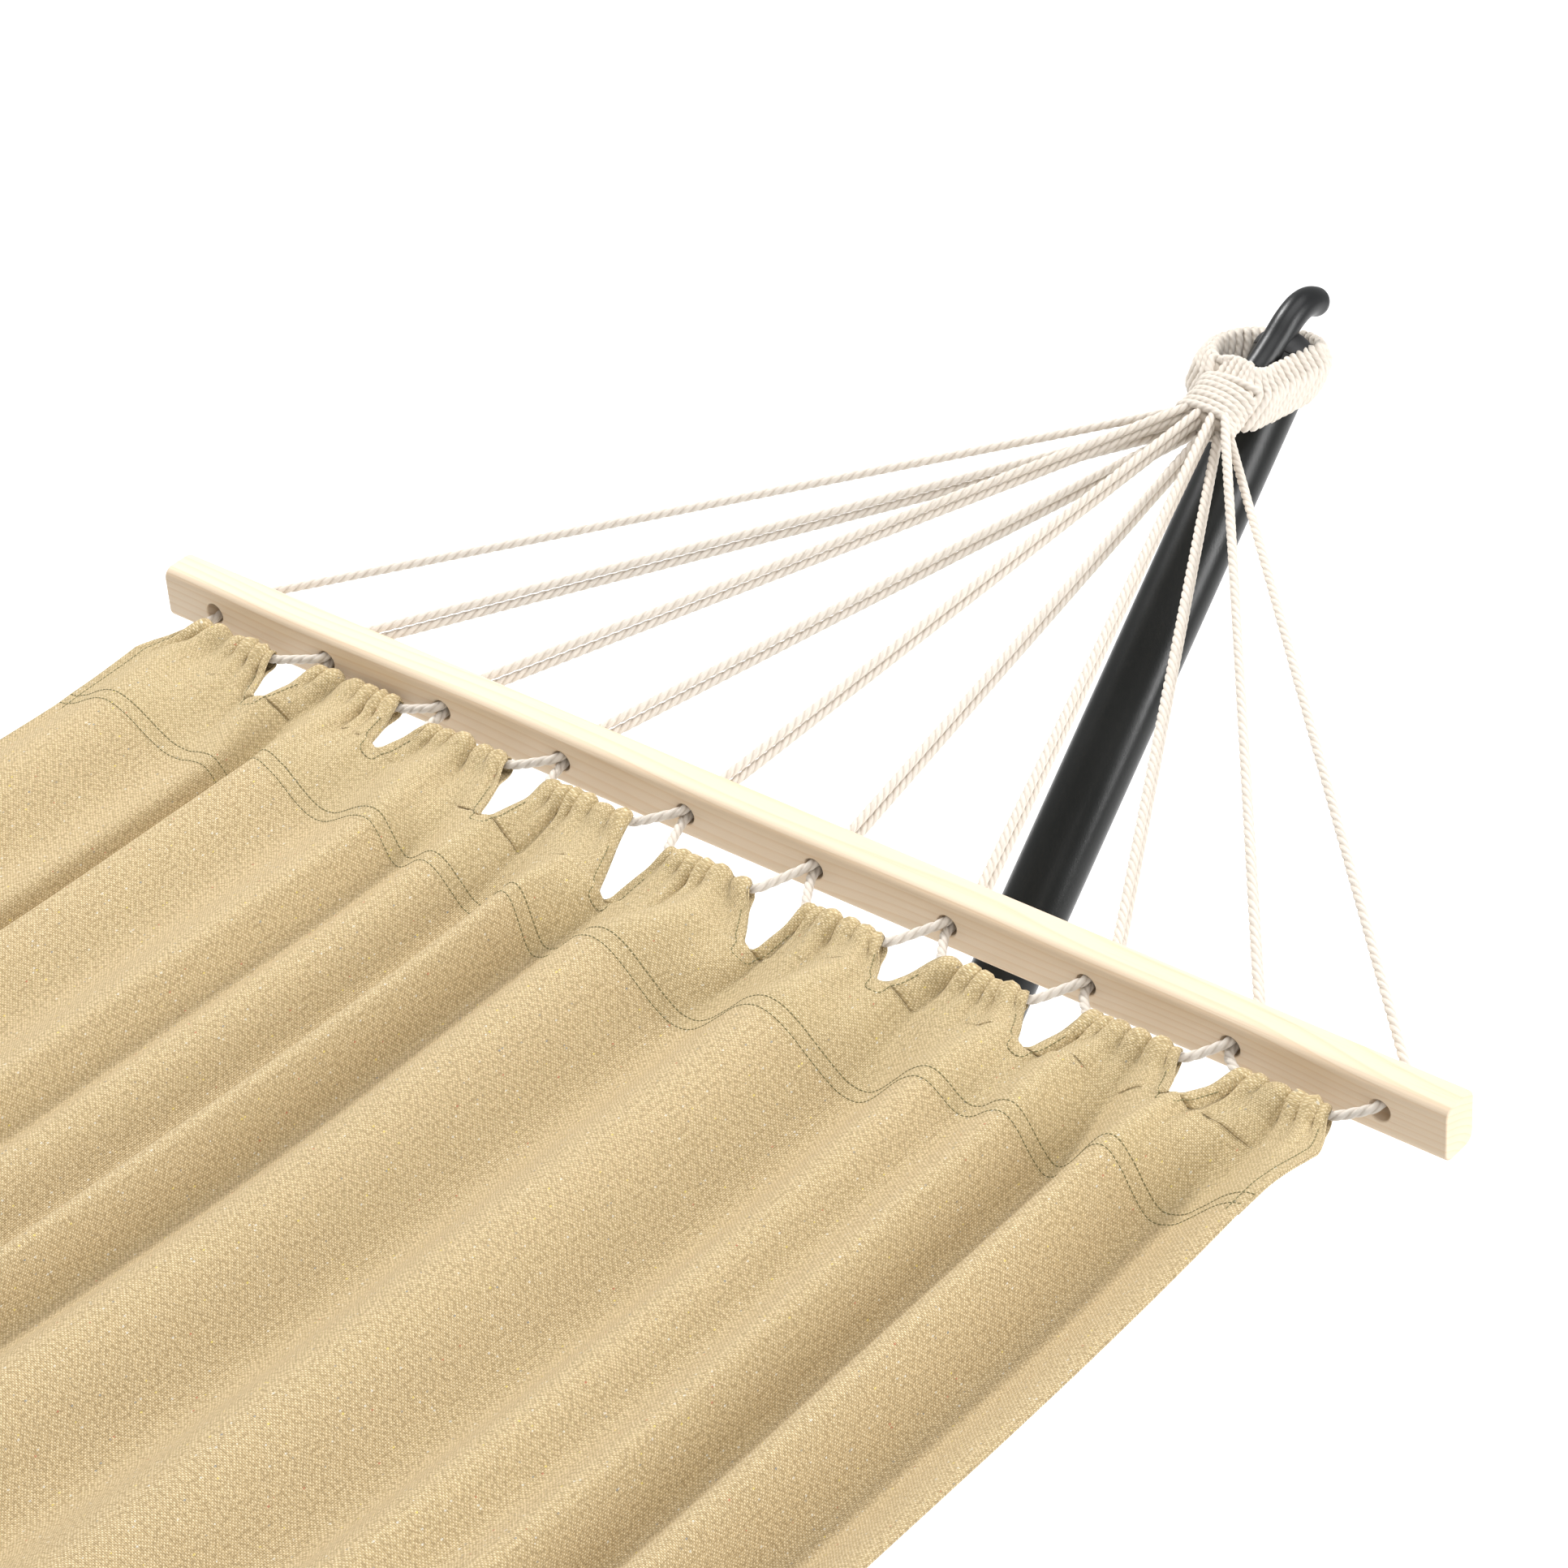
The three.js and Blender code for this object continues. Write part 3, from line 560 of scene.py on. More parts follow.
def arm(end):
    straight_tube(f"arm_steel_{end}", f"arm_tube_{end}", arm_point(-ARM_LENGTH), ARM_DIR, ARM_LENGTH,
                  TUBE_R, end, sides=96)


def hook_tube(end):
    straight_tube(f"hook_tube_steel_{end}", f"hook_tube_{end}", arm_point(-HOOK_TUBE_IN), ARM_DIR,
                  HOOK_TUBE_IN + HOOK_TUBE_OUT, SPIGOT_R, end, sides=96)


def hook_plug(end):
    """The domed insert with a small step where it meets the tube."""
    line = straight_line(arm_point(HOOK_TUBE_OUT), ARM_DIR, PLUG_DOME)
    stem = SPIGOT_R - WALL - GAP
    step = 1.6 * MM
    profile = [(-20 * MM, 0.1 * MM), (-20 * MM, stem - 1 * MM), (-19 * MM, stem), (GAP, stem)]
    profile += [(GAP, SPIGOT_R - 0.3 * MM), (GAP + 0.3 * MM, SPIGOT_R), (step, SPIGOT_R)]
    for angle in np.linspace(0.1, 0.5 * math.pi - 0.02, 14):
        profile.append((step + (PLUG_DOME - step) * math.sin(angle), SPIGOT_R * math.cos(angle)))
    piece = turned_piece(f"hook_plug_cap_{end}", line, profile, PLASTIC, end=end, sharp=50)
    place(piece, "stand", "black_plastic", f"hook_plug_{end}")


def hook_rod(end):
    """The bent solid rod with a rounded tip, welded to the hook tube."""
    points = [arm_point(distance * MM, off * MM) for distance, off in ROD_LINE]
    line = smooth_path(points, 0.7 * MM, passes=3, window=9)
    length = lengths_along(line)[-1]
    profile = []
    for angle in np.linspace(0.03, 0.5 * math.pi, 12):
        profile.append((-6 * MM * math.cos(angle), ROD_R * math.sin(angle)))
    profile += [(distance, ROD_R) for distance in np.arange(2 * MM, length, 0.9 * MM)]
    for angle in np.linspace(0, 0.5 * math.pi - 0.03, 12):
        profile.append((length + ROD_R * math.sin(angle), ROD_R * math.cos(angle)))
    piece = turned_piece(f"hook_rod_steel_{end}", line, profile, ENAMEL, sides=48, end=end, sharp=50)
    place(piece, "stand", "hook_enamel", f"hook_rod_{end}")


def foot_tube(end):
    half = FOOT_HALF - CAP_END - GAP
    straight_tube(f"foot_steel_{end}", f"foot_tube_{end}", (-half, FOOT_Y, FOOT_Z), X_DIR, 2 * half,
                  FOOT_R, end)


def base_tube():
    along = np.array((0.0, 1, 0))
    straight_tube("base_steel", "base_tube", (0, -BASE_HALF, BASE_Z), along, 2 * BASE_HALF, TUBE_R)


def cap_outline(grow):
    """Round on top and flat underneath, as (y, z) about the foot tube's axis."""
    flat = CAP_FLAT / 2 + min(grow, 0)
    outline = []
    for angle in np.linspace(-CAP_SHOULDER, math.pi + CAP_SHOULDER, 33):
        outline.append(((CAP_R + grow) * math.cos(angle), (CAP_R + grow) * math.sin(angle)))
    bottom = -FOOT_Z - min(grow, 0)
    for share in np.linspace(-1, 1, 9):
        outline.append((flat * share, bottom))
    return np.array(outline)


def foot_cap(end, side, word):
    """A moulded cap with a softened outer edge, grip ribs round its open end and a blind socket."""
    outer_end = side * FOOT_HALF
    rounding = 4 * MM
    rows = [(outer_end, -rounding)]
    for angle in np.linspace(0, 0.5 * math.pi, 7)[::-1]:
        x = outer_end - side * rounding * (1 - math.sin(angle))
        rows.append((x, -rounding * (1 - math.cos(angle))))
    depth = outer_end - side * CAP_DEPTH
    for rib in range(3):
        x = outer_end - side * (18 + 6 * rib) * MM
        for across, down in ((0, 0), (0.5, -0.9), (1.5, -0.9), (2, 0)):
            rows.append((x - side * across * MM, down * MM))
    rows += [(depth + side * 0.6 * MM, 0), (depth, -0.6 * MM)]
    ring = cap_outline(0)
    count = len(ring)
    points = [np.column_stack([np.full(count, x), cap_outline(grow)]) for x, grow in rows]
    for x in (depth, outer_end - side * CAP_END):
        points.append(np.column_stack([np.full(count, x), unit(ring) * (FOOT_R + GAP)]))
    faces = grid_faces(len(points), count, around=True)
    last = (len(points) - 1) * count
    faces += [list(range(count)), list(range(last, last + count))[::-1]]
    stacked = np.concatenate(points) + np.array((0, FOOT_Y, FOOT_Z))
    if side > 0:
        faces = [face[::-1] for face in faces]
    piece = add_mesh(f"foot_cap_{word}_mould_{end}", at_end(stacked, end), faces, PLASTIC, sharp=40)
    place(piece, "stand", "black_plastic", f"foot_cap_{word}_{end}")


def foot_caps(end):
    foot_cap(end, -1, "left")
    foot_cap(end, 1, "right")


def carried_over(end):
    """CAD nodes whose shape is right: their edges are softened and they get their finish."""
    soft = {"saddle": (PLASTIC, 1.2)}
    for kind in ("foot_bolt", "base_bolt", "arm_bolt", "foot_nut", "base_nut", "arm_nut", "hook_screw"):
        soft[kind] = (ZINC, 0.6)
    for kind, (material, width) in soft.items():
        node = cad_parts[f"{kind}_{end}"]
        node.data.materials.clear()
        node.data.materials.append(material)
        bevel = node.modifiers.new("Bevel", "BEVEL")
        bevel.width = width * MM
        bevel.segments = 3
        bevel.limit_method = "ANGLE"
        bevel.angle_limit = math.radians(40)
        node.data.shade_smooth()
        node.data.set_sharp_from_angle(angle=math.radians(35))


# ---- twisted rope ----

STRANDS = 3
GROOVE_DEPTH = 0.26           # of the rope's radius


def strand_radius(angle, radius):
    """Outline of three laid strands: round lobes with narrow grooves between them, and how deep each point
    lies in a groove, which darkens the rope's colour there as painted shade.
    """
    lobe = np.abs(np.cos(angle * STRANDS / 2)) ** 0.55
    return radius * (1 - GROOVE_DEPTH + GROOVE_DEPTH * lobe), 1 - lobe


def rope_mesh(paths, radius, lay=ROPE_LAY, sides=18):
    """Points, faces, UVs and groove depth of laid ropes along the given paths, as one set; the groove depth
    is painted shade in the rope's colour.
    """
    points, faces, uvs, groove_shades = [], [], [], []
    start = 0
    angle = full_turn(sides)
    for path in paths:
        run = lengths_along(path)
        _, side, up = path_frames(path)
        turn = angle[None, :] - 2 * np.pi * run[:, None] / lay
        reach, groove_shade = strand_radius(np.broadcast_to(angle, turn.shape), radius)
        ring = np.cos(turn)[..., None] * side[:, None] + np.sin(turn)[..., None] * up[:, None]
        points.append((path[:, None] + reach[..., None] * ring).reshape(-1, 3))
        faces += closed_faces(len(path), sides, start)
        across = np.broadcast_to(angle * radius, turn.shape)
        uvs.append(np.stack([np.broadcast_to(run[:, None], turn.shape), across], -1).reshape(-1, 2))
        groove_shades.append(groove_shade.ravel())
        start += len(path) * sides
    return np.concatenate(points), faces, np.concatenate(uvs), np.concatenate(groove_shades)


def hole_x(hole):
    return (hole - (HOLE_COUNT - 1) / 2) * HOLE_PITCH


def mouth_point(hole, out, rise, lean=0.0):
    y = out * math.cos(BAR_TILT) - rise * math.sin(BAR_TILT)
    z = out * math.sin(BAR_TILT) + rise * math.cos(BAR_TILT)
    return (hole_x(hole) + lean, BAR_Y + y, BAR_Z + z)


def neck_point(hole, rise):
    """Where a rope enters the whipped neck, a little inside it."""
    layer = NECK_LAYER if hole % 2 == 0 else -NECK_LAYER
    x = (hole - (HOLE_COUNT - 1) / 2) * NECK_SLOT
    return (x, BAR_Y + NECK_Y + 4 * MM, BAR_Z + NECK_Z + layer + rise)


def rope_route(tab):
    """Neck, hole, round through the cloth's channel, next hole, neck."""
    mouth = BAR_DEPTH / 2
    y = BAR_Y - TAB_INSET[tab] * MM
    z = BAR_Z + CHANNEL_Z
    left = (TAB_X[tab] - TAB_HALF[tab]) * MM
    right = (TAB_X[tab] + TAB_HALF[tab]) * MM
    return [
        neck_point(tab, -PAIR_RISE),
        mouth_point(tab, mouth + ROPE_REACH, -PAIR_RISE, 1 * MM),
        mouth_point(tab, mouth + MM, -PAIR_RISE),
        mouth_point(tab, -mouth - MM, -PAIR_RISE),
        mouth_point(tab, -mouth - ROPE_REACH, -PAIR_RISE, 1 * MM),
        (left - 5 * MM, y + 2 * MM, z + 0.5 * MM),
        (left, y + 0.2 * MM, z),
        (right, y + 0.2 * MM, z),
        (right + 5 * MM, y + 2 * MM, z + 0.5 * MM),
        mouth_point(tab + 1, -mouth - ROPE_REACH, PAIR_RISE, -1 * MM),
        mouth_point(tab + 1, -mouth - MM, PAIR_RISE),
        mouth_point(tab + 1, mouth + MM, PAIR_RISE),
        mouth_point(tab + 1, mouth + ROPE_REACH, PAIR_RISE, -1 * MM),
        neck_point(tab + 1, PAIR_RISE),
    ]


def ropes(end):
    for tab in range(len(TAB_X)):
        path = smooth_path(rope_route(tab), 2 * MM, passes=2, window=5)
        points, faces, uv, groove_shade = rope_mesh([path], ROPE_R * 1.04)
        name = f"rope_{tab + 1}_laid_{end}"
        piece = add_mesh(name, at_end(points, end), faces, ROPE, uv, {"groove_shade": groove_shade})
        place(piece, "hammock", "cotton_rope", f"rope_{tab + 1}_{end}")


# ---- eye loop: a flat bundle of rope, wrapped all round, and its whipped neck ----

TO_BED = np.array((0, -math.cos(EYE_DROP), math.sin(EYE_DROP)))
EYE_CENTRE = arm_point(EYE_PLANE + EYE_RISE)
WRAP_R = 3.1 * MM
WRAP_PITCH = 6.3 * MM


def belt_line():
    """Even points of the bundle's mid line, as (towards the bed, across), and the line's length."""
    rounds = np.array(EYE_ROUNDS) * MM
    angle = np.linspace(0, 2 * math.pi, 361)
    normals = np.stack([np.cos(angle), np.sin(angle)], 1)
    far = rounds[np.argmax(normals @ rounds[:, :2].T + rounds[:, 2], axis=1)]
    line = far[:, :2] + normals * (far[:, 2:] + EYE_THICKNESS / 2)
    run = lengths_along(line)
    even = np.linspace(0, run[-1], BELT_POINTS, endpoint=False)
    return at_lengths(even, run, line), run[-1]


BELT_POINTS = 400
BELT, GIRTH = belt_line()


def superellipse(angle, half_width, half_height, power=2.6):
    c, s = np.cos(angle), np.sin(angle)
    x = half_width * np.sign(c) * np.abs(c) ** (2 / power)
    y = half_height * np.sign(s) * np.abs(s) ** (2 / power)
    return x, y


def belt_point(share, out, up):
    """A point by its share of the way round the belt, its distance out of the mid line and up the arm."""
    at = (np.asarray(share) % 1) * BELT_POINTS
    low = np.floor(at).astype(int) % BELT_POINTS
    part = (at - np.floor(at))[..., None]
    following = BELT[(low + 1) % BELT_POINTS]
    middle = BELT[low] * (1 - part) + following * part
    tangent = unit(following - BELT[low - 1])
    normal = np.stack([tangent[..., 1], -tangent[..., 0]], -1)
    lean = EYE_LEAN * smoothstep(-2 * MM, 22 * MM, np.asarray(up)) * (middle[..., 1] > -20 * MM)
    flat = middle + normal * (np.asarray(out) - lean)[..., None]
    return (EYE_CENTRE + flat[..., :1] * TO_BED + flat[..., 1:] * X_DIR
            + np.asarray(up)[..., None] * ARM_DIR)


def belt_section(share):
    """Half width and half thickness of the bundle: it is fullest on the slack side."""
    at = (np.asarray(share) * BELT_POINTS).astype(int) % BELT_POINTS
    slack = smoothstep(0, 30 * MM, -BELT[at, 1])
    outer = smoothstep(0, 28 * MM, -BELT[at, 0])
    return EYE_WIDTH / 2 * (1 - 0.18 * slack - 0.26 * outer), EYE_THICKNESS / 2 + 3.2 * MM * slack


def belt_wraps():
    """One rope wound round the belt; on the outside its turns bend back in a herringbone."""
    turns = int(GIRTH / WRAP_PITCH)
    angle = np.linspace(0, 2 * math.pi * turns, turns * 48 + 1)
    half_width, half_thickness = belt_section(angle / angle[-1])
    wide = half_width - WRAP_R * 0.6
    up, out = superellipse(angle + 0.5 * math.pi, wide, half_thickness - WRAP_R * 0.6)
    level = up / wide
    ridge = np.where(level > 0.3, (1 - level) / 0.7, (1 + level) / 1.3)
    bend = 7.5 * MM * ridge * (out > 0) + 3 * MM * level * (out <= 0)
    share = angle / angle[-1] + bend / GIRTH
    uneven = 0.30 * MM * np.sin(angle * 0.37) + 0.20 * MM * np.sin(angle * 1.13)
    lapped = 0.8 * MM * np.exp(-((level - 0.3) / 0.22) ** 2) * (out > 0)
    return belt_point(share, out + uneven + lapped, up)


def belt_core():
    """The bundle inside the wraps, so that no daylight shows between them."""
    rows, columns = 120, 20
    shares, angles = np.meshgrid(np.arange(rows) / rows, full_turn(columns), indexing="ij")
    half_width, half_thickness = belt_section(shares)
    up, out = superellipse(angles, half_width - 1.3 * WRAP_R, half_thickness - 0.8 * WRAP_R)
    points = belt_point(shares.ravel(), out.ravel(), up.ravel())
    faces = grid_faces(rows + 1, columns, around=True)
    total = rows * columns
    return points, [[i % total for i in face] for face in faces]


NECK_END = np.array((0, BAR_Y + NECK_Y, BAR_Z + NECK_Z))
NECK_START = EYE_CENTRE + TO_BED * 54 * MM
NECK_WIDTH = 54
NECK_HEIGHT = 27
NECK_LENGTH = float(np.linalg.norm(NECK_END - NECK_START))
NECK_RUN = unit(NECK_END - NECK_START)
NECK_UP = np.cross(NECK_RUN, X_DIR)
NECK_UP = NECK_UP * np.sign(NECK_UP[2])


def neck_section(share):
    """Half width and half height of the neck, fuller where the loop's legs come together."""
    width = 0.5 * MM * (NECK_WIDTH - 6 * np.sin(math.pi * np.clip(share, 0, 1)) - 3 * share)
    height = 0.5 * MM * (NECK_HEIGHT + 1.5 * np.sin(math.pi * share))
    return width, height


def neck_point_at(share, angle, inset):
    width, height = neck_section(share)
    x, up = superellipse(angle, width - inset, height - inset, 2.3)
    return (NECK_START + (share * NECK_LENGTH)[..., None] * NECK_RUN
            + x[..., None] * X_DIR + up[..., None] * NECK_UP)


def neck_wraps():
    """Turns round the neck that lie aslant beside the loop and run square at the end."""
    turns = int(NECK_LENGTH / (WRAP_PITCH * 0.9)) + 1
    angle = np.linspace(0, 2 * math.pi * turns, turns * 56 + 1)
    along = angle / angle[-1]
    slant = 0.11 * np.cos(angle + 0.3) * (1 - 0.75 * along) * np.clip(along * 6, 0, 1)
    uneven = 0.3 * MM * np.sin(angle * 0.41)
    return neck_point_at(np.clip(along * 0.95 + 0.02 + slant, 0.0, 0.98), angle + 0.5, WRAP_R * 0.8 + uneven)


def neck_core():
    rows, columns = 24, 28
    shares, angles = np.meshgrid(np.linspace(0, 0.985, rows), full_turn(columns), indexing="ij")
    points = neck_point_at(shares.ravel(), angles.ravel(), 1.7 * WRAP_R)
    return points, closed_faces(rows, columns)


def eye_loop(end):
    wraps = [smooth_path(path, 1.6 * MM, passes=1, window=3) for path in (belt_wraps(), neck_wraps())]
    points, faces, uv, groove_shade = rope_mesh(wraps, WRAP_R, lay=16 * MM, sides=15)
    winding = add_mesh(f"eye_winding_{end}", at_end(points, end), faces, ROPE, uv, {"groove_shade": groove_shade})
    place(winding, "stand", "cotton_rope", f"eye_loop_{end}")
    for word, (points, faces) in (("loop", belt_core()), ("neck", neck_core())):
        # painted shade: the cores show only between the wraps, so they are coloured nearly as dark as the
        # rope's grooves
        shade = np.full(len(points), 0.9)
        core = add_mesh(f"eye_{word}_bundle_{end}", at_end(points, end), faces, ROPE,
                        points[:, :2], {"groove_shade": shade})
        place(core, "stand", "cotton_rope")


# ---- spreader bars ----


def bar_section():
    """Rounded outline of the bar as (y, z)."""
    y, z = BAR_DEPTH / 2 - BAR_ROUNDING, BAR_HEIGHT / 2 - BAR_ROUNDING
    outline = []
    for quarter, (cy, cz) in enumerate([(y, z), (-y, z), (-y, -z), (y, -z)]):
        for angle in np.linspace(0, 0.5 * math.pi, 9) + quarter * 0.5 * math.pi:
            outline.append((cy + BAR_ROUNDING * math.cos(angle), cz + BAR_ROUNDING * math.sin(angle)))
    return np.array(outline)


def hole_cutters():
    """One mesh of all the drills, each bar hole a cylinder along Y."""
    sides = 40
    angle = full_turn(sides)
    points, faces = [], []
    for hole in range(HOLE_COUNT):
        start = len(points) * sides
        for y in (-BAR_DEPTH, BAR_DEPTH):
            ring = np.column_stack([
                hole_x(hole) + HOLE_R * np.cos(angle), np.full(sides, y), HOLE_R * np.sin(angle)])
            points.append(ring)
        faces += [face[::-1] for face in closed_faces(2, sides, start)]
    return add_mesh("hole_cutters", np.concatenate(points), faces, PINE)


def spreader_bar(end):
    section = bar_section()
    count = len(section)
    rings = [np.column_stack([np.full(count, x), section]) for x in (-BAR_LENGTH / 2, BAR_LENGTH / 2)]
    piece = add_mesh(f"spreader_bar_pine_{end}", np.concatenate(rings), closed_faces(2, count), PINE)
    cutters = hole_cutters()
    finished(piece, ("BOOLEAN", {"object": cutters, "operation": "DIFFERENCE", "solver": "EXACT"}))
    bpy.data.objects.remove(cutters)
    soften = {"width": 1.3 * MM, "segments": 3, "limit_method": "ANGLE",
              "angle_limit": math.radians(40), "harden_normals": True}
    finished(piece, ("BEVEL", soften))
    piece.data.shade_smooth()
    piece.rotation_euler = (BAR_TILT, 0, 0 if end == "a" else math.pi)
    piece.location = (0, BAR_Y * ENDS[end], BAR_Z)
    place(piece, "hammock", "pine", f"spreader_bar_{end}")


# ---- bed cloth ----

FLAT_WIDTH = 1.08
TAB_COLUMNS = 46
CHANNEL_REACH = 5.4 * MM      # middle of the cloth from the rope's axis, round the channel
CLOTH = 1.1 * MM
LAYER = 0.7 * MM              # half the distance between the two layers of the hem
HEM = 122 * MM
NOTCH_X = [-371, -266, -154, -49, 61, 151, 255, 354]
NOTCH_DEPTH = [45, 43, 57, 58, 47, 38, 46, 44]
NOTCH_ROUND = 4.5 * MM
BED_LEFT = -478 * MM
BED_RIGHT = 450 * MM
PUCKERS = 5.5                 # gathers across a tab

# Crests and valleys of the bed beside end a, as (x, height), from its left edge to its right one.
FOLDS = [
    (-478, -4), (-432, 11), (-376, -8), (-352, -5), (-331, -18), (-303, 13), (-250, -5), (-200, 13),
    (-175, -7), (-150, 5), (-110, -14), (-80, 12), (-55, -15), (-2, 17), (63, -15), (122, 17),
    (190, -15), (236, 14), (264, 1), (290, 12), (321, -15), (356, 15), (391, -17), (450, 15),
]

FOLD_DEPTH = 1.2
TABS = len(TAB_X)
TOTAL_COLUMNS = TAB_COLUMNS * TABS + 1
CHANNEL_QUARTER = 0.5 * math.pi * CHANNEL_REACH
HEM_SEAMS = (105 * MM, 115 * MM)
HEM_FADE = 26 * MM            # over this much the hem's upper layer settles onto the open bed
BED_STEP = 11 * MM
EDGE_BLEND = 0.4              # over this much the open bed's rows straighten


def smoothstep(low, high, value):
    t = np.clip((value - low) / (high - low), 0, 1)
    return t * t * (3 - 2 * t)


def fold_height(x):
    """Height of the folds over their middle line: a half cosine between each crest and valley."""
    places = np.array([p for p, _ in FOLDS]) * MM
    heights = np.array([h for _, h in FOLDS]) * FOLD_DEPTH * MM
    index = np.clip(np.searchsorted(places, x) - 1, 0, len(places) - 2)
    t = np.clip((x - places[index]) / (places[index + 1] - places[index]), 0, 1)
    share = 0.5 - 0.5 * np.cos(math.pi * t)
    return heights[index] * (1 - share) + heights[index + 1] * share


def even_columns():
    """x of each column of the bed, spaced evenly along the folded cloth, not across it."""
    x = np.linspace(BED_LEFT, BED_RIGHT, 4001)
    run = np.concatenate([[0], np.cumsum(np.hypot(np.diff(x), np.diff(fold_height(x))))])
    return np.interp(np.linspace(0, run[-1], TOTAL_COLUMNS), run, x)


def bed_height(y):
    return BAR_Z + CHANNEL_Z - BED_SAG * (1 - (y / BED_HALF) ** 2)


def row_distances(depth):
    """Flat distances of the end's rows from its fold line, down to the hem's inner edge."""
    round_rope = np.linspace(0, CHANNEL_QUARTER, 7)
    above = np.linspace(CHANNEL_QUARTER, depth - NOTCH_ROUND, 17)[1:]
    curve = depth - NOTCH_ROUND * (1 - np.sin(np.linspace(0, 0.5 * math.pi, 6)))[1:]
    below = np.linspace(depth, HEM, 34)[1:]
    return np.concatenate([round_rope, above, curve, below])


NOTCH_ROW = 7 + 16 + 5 - 1


def tab_edge_shift(above):
    """Half width of a notch's rounded foot at a distance above its lowest point."""
    t = np.clip(above / NOTCH_ROUND, 0, 1)
    return NOTCH_ROUND * np.sqrt(1 - (1 - t) ** 2)


def cloth_end(columns_x, seed):
    """Middle surface of one end's tabs and hem: arrays [row, tab, column, xyz] and flat distances."""
    draw = np.random.default_rng(seed)
    depth_at = np.interp(np.arange(TABS + 1), np.arange(1, TABS), np.array(NOTCH_DEPTH) * MM)
    within = np.linspace(0, 1, TAB_COLUMNS + 1)
    rows = len(row_distances(0.05))
    points = np.zeros((rows, TABS, TAB_COLUMNS + 1, 3))
    flat = np.zeros((rows, TABS, TAB_COLUMNS + 1))
    inset = np.array(TAB_INSET) * MM
    feet = [BED_LEFT, *(x * MM for x in NOTCH_X), BED_RIGHT]
    for tab in range(TABS):
        left = (TAB_X[tab] - TAB_HALF[tab]) * MM
        right = (TAB_X[tab] + TAB_HALF[tab]) * MM
        notched_left, notched_right = tab > 0, tab < TABS - 1
        foot_left, foot_right = feet[tab], feet[tab + 1]
        depth = depth_at[tab] + (depth_at[tab + 1] - depth_at[tab]) * within
        distance = np.stack([row_distances(d) for d in depth], 1)
        flat[:, tab] = distance
        above = np.clip(depth - distance, 0, None)
        share = above / depth
        shift = tab_edge_shift(above)
        opened = smoothstep(0, 1, share) * 0.35 + share * 0.65
        low = foot_left + shift * notched_left
        low = low + (left - foot_left - NOTCH_ROUND * notched_left) * opened
        high = foot_right - shift * notched_right
        high = high + (right - foot_right + NOTCH_ROUND * notched_right) * opened
        x_tab = low + (high - low) * within
        x_bed = columns_x[tab * TAB_COLUMNS:(tab + 1) * TAB_COLUMNS + 1]
        into = smoothstep(0, 1, (distance - depth) / (HEM - depth))
        points[:, tab, :, 0] = x_tab * (1 - into) + x_bed * into
        own = inset[tab]
        column = tab + within
        shared = np.interp(column, np.arange(TABS) + 0.5, inset)
        blend = smoothstep(0, 1, distance / depth)
        rope_y = own * (1 - blend) + shared * blend
        past = np.where(distance < CHANNEL_QUARTER, -CHANNEL_REACH * np.cos(distance / CHANNEL_REACH),
                        distance - CHANNEL_QUARTER)
        y = BAR_Y - rope_y - past
        points[:, tab, :, 1] = y
        fold = fold_height(x_bed) * smoothstep(4 * MM, 100 * MM, distance)
        phase = 2 * math.pi * (PUCKERS * (within + 0.05 * np.sin(7 * within + draw.uniform(0, 6)))
                               + draw.uniform(0, 1))
        coarse = 2 * math.pi * (2.3 * within + draw.uniform(0, 1))
        size = 0.75 + 0.35 * np.sin(3.1 * within * math.pi + draw.uniform(0, 6))
        reach = distance * (1 + 0.35 * np.sin(coarse))
        edge_free = smoothstep(-0.02, 0.10, within) * smoothstep(-0.02, 0.10, 1 - within)
        gather = 3.5 * MM * size * np.sin(phase) * np.exp(-np.clip(reach - 10 * MM, 0, None) / (27 * MM))
        gather = gather * (0.35 + 0.65 * smoothstep(0, 9 * MM, distance))
        broad = 3.0 * MM * np.sin(coarse) * np.exp(-((distance - 45 * MM) / (36 * MM)) ** 2)
        z = bed_height(y) + fold + (gather + broad) * edge_free
        lift = (BAR_Z + CHANNEL_Z - bed_height(BAR_Y - own)) * (1 - smoothstep(0, 60 * MM, distance))
        points[:, tab, :, 2] = z + lift
    seam = (points[NOTCH_ROW:, :-1, -1] + points[NOTCH_ROW:, 1:, 0]) / 2
    points[NOTCH_ROW:, :-1, -1] = points[NOTCH_ROW:, 1:, 0] = seam
    return points, flat


def surface_normals(points):
    """Upward unit normals of a [row, tab, column, xyz] or [row, column, xyz] grid."""
    down = np.gradient(points, axis=0)
    across = np.gradient(points, axis=-2)
    normals = np.cross(across, down)
    length = np.linalg.norm(normals, axis=-1, keepdims=True)
    normals = normals / np.maximum(length, 1e-12)
    return normals * np.where(normals[..., 2:] < 0, -1, 1)


def layer_offset(distance):
    """Half the distance between the two layers: round the rope, then sewn flat together."""
    round_rope = CHANNEL_REACH * np.sin(np.clip(distance, 0, CHANNEL_QUARTER) / CHANNEL_REACH)
    sewn = smoothstep(0, 20 * MM, distance - CHANNEL_QUARTER)
    flat = LAYER + (CHANNEL_REACH - LAYER) * (1 - sewn)
    return np.where(distance < CHANNEL_QUARTER, round_rope, flat)


class Cloth:
    """Collects the points of the bed and its faces, so that shared seams stay joined."""

    def __init__(self):
        self.points, self.uv, self.hem, self.faces = [], [], [], []

    def add(self, points, uv, hem):
        start = sum(len(p) for p in self.points)
        self.points.append(points.reshape(-1, 3))
        self.uv.append(uv.reshape(-1, 2))
        self.hem.append(hem.ravel())
        return start + np.arange(points[..., 0].size).reshape(points.shape[:-1])

    def quads(self, ids):
        """Faces over a [row, column] grid of point numbers."""
        a, b, c, d = ids[:-1, :-1], ids[:-1, 1:], ids[1:, 1:], ids[1:, :-1]
        self.faces += np.stack([a, b, c, d], -1).reshape(-1, 4).tolist()


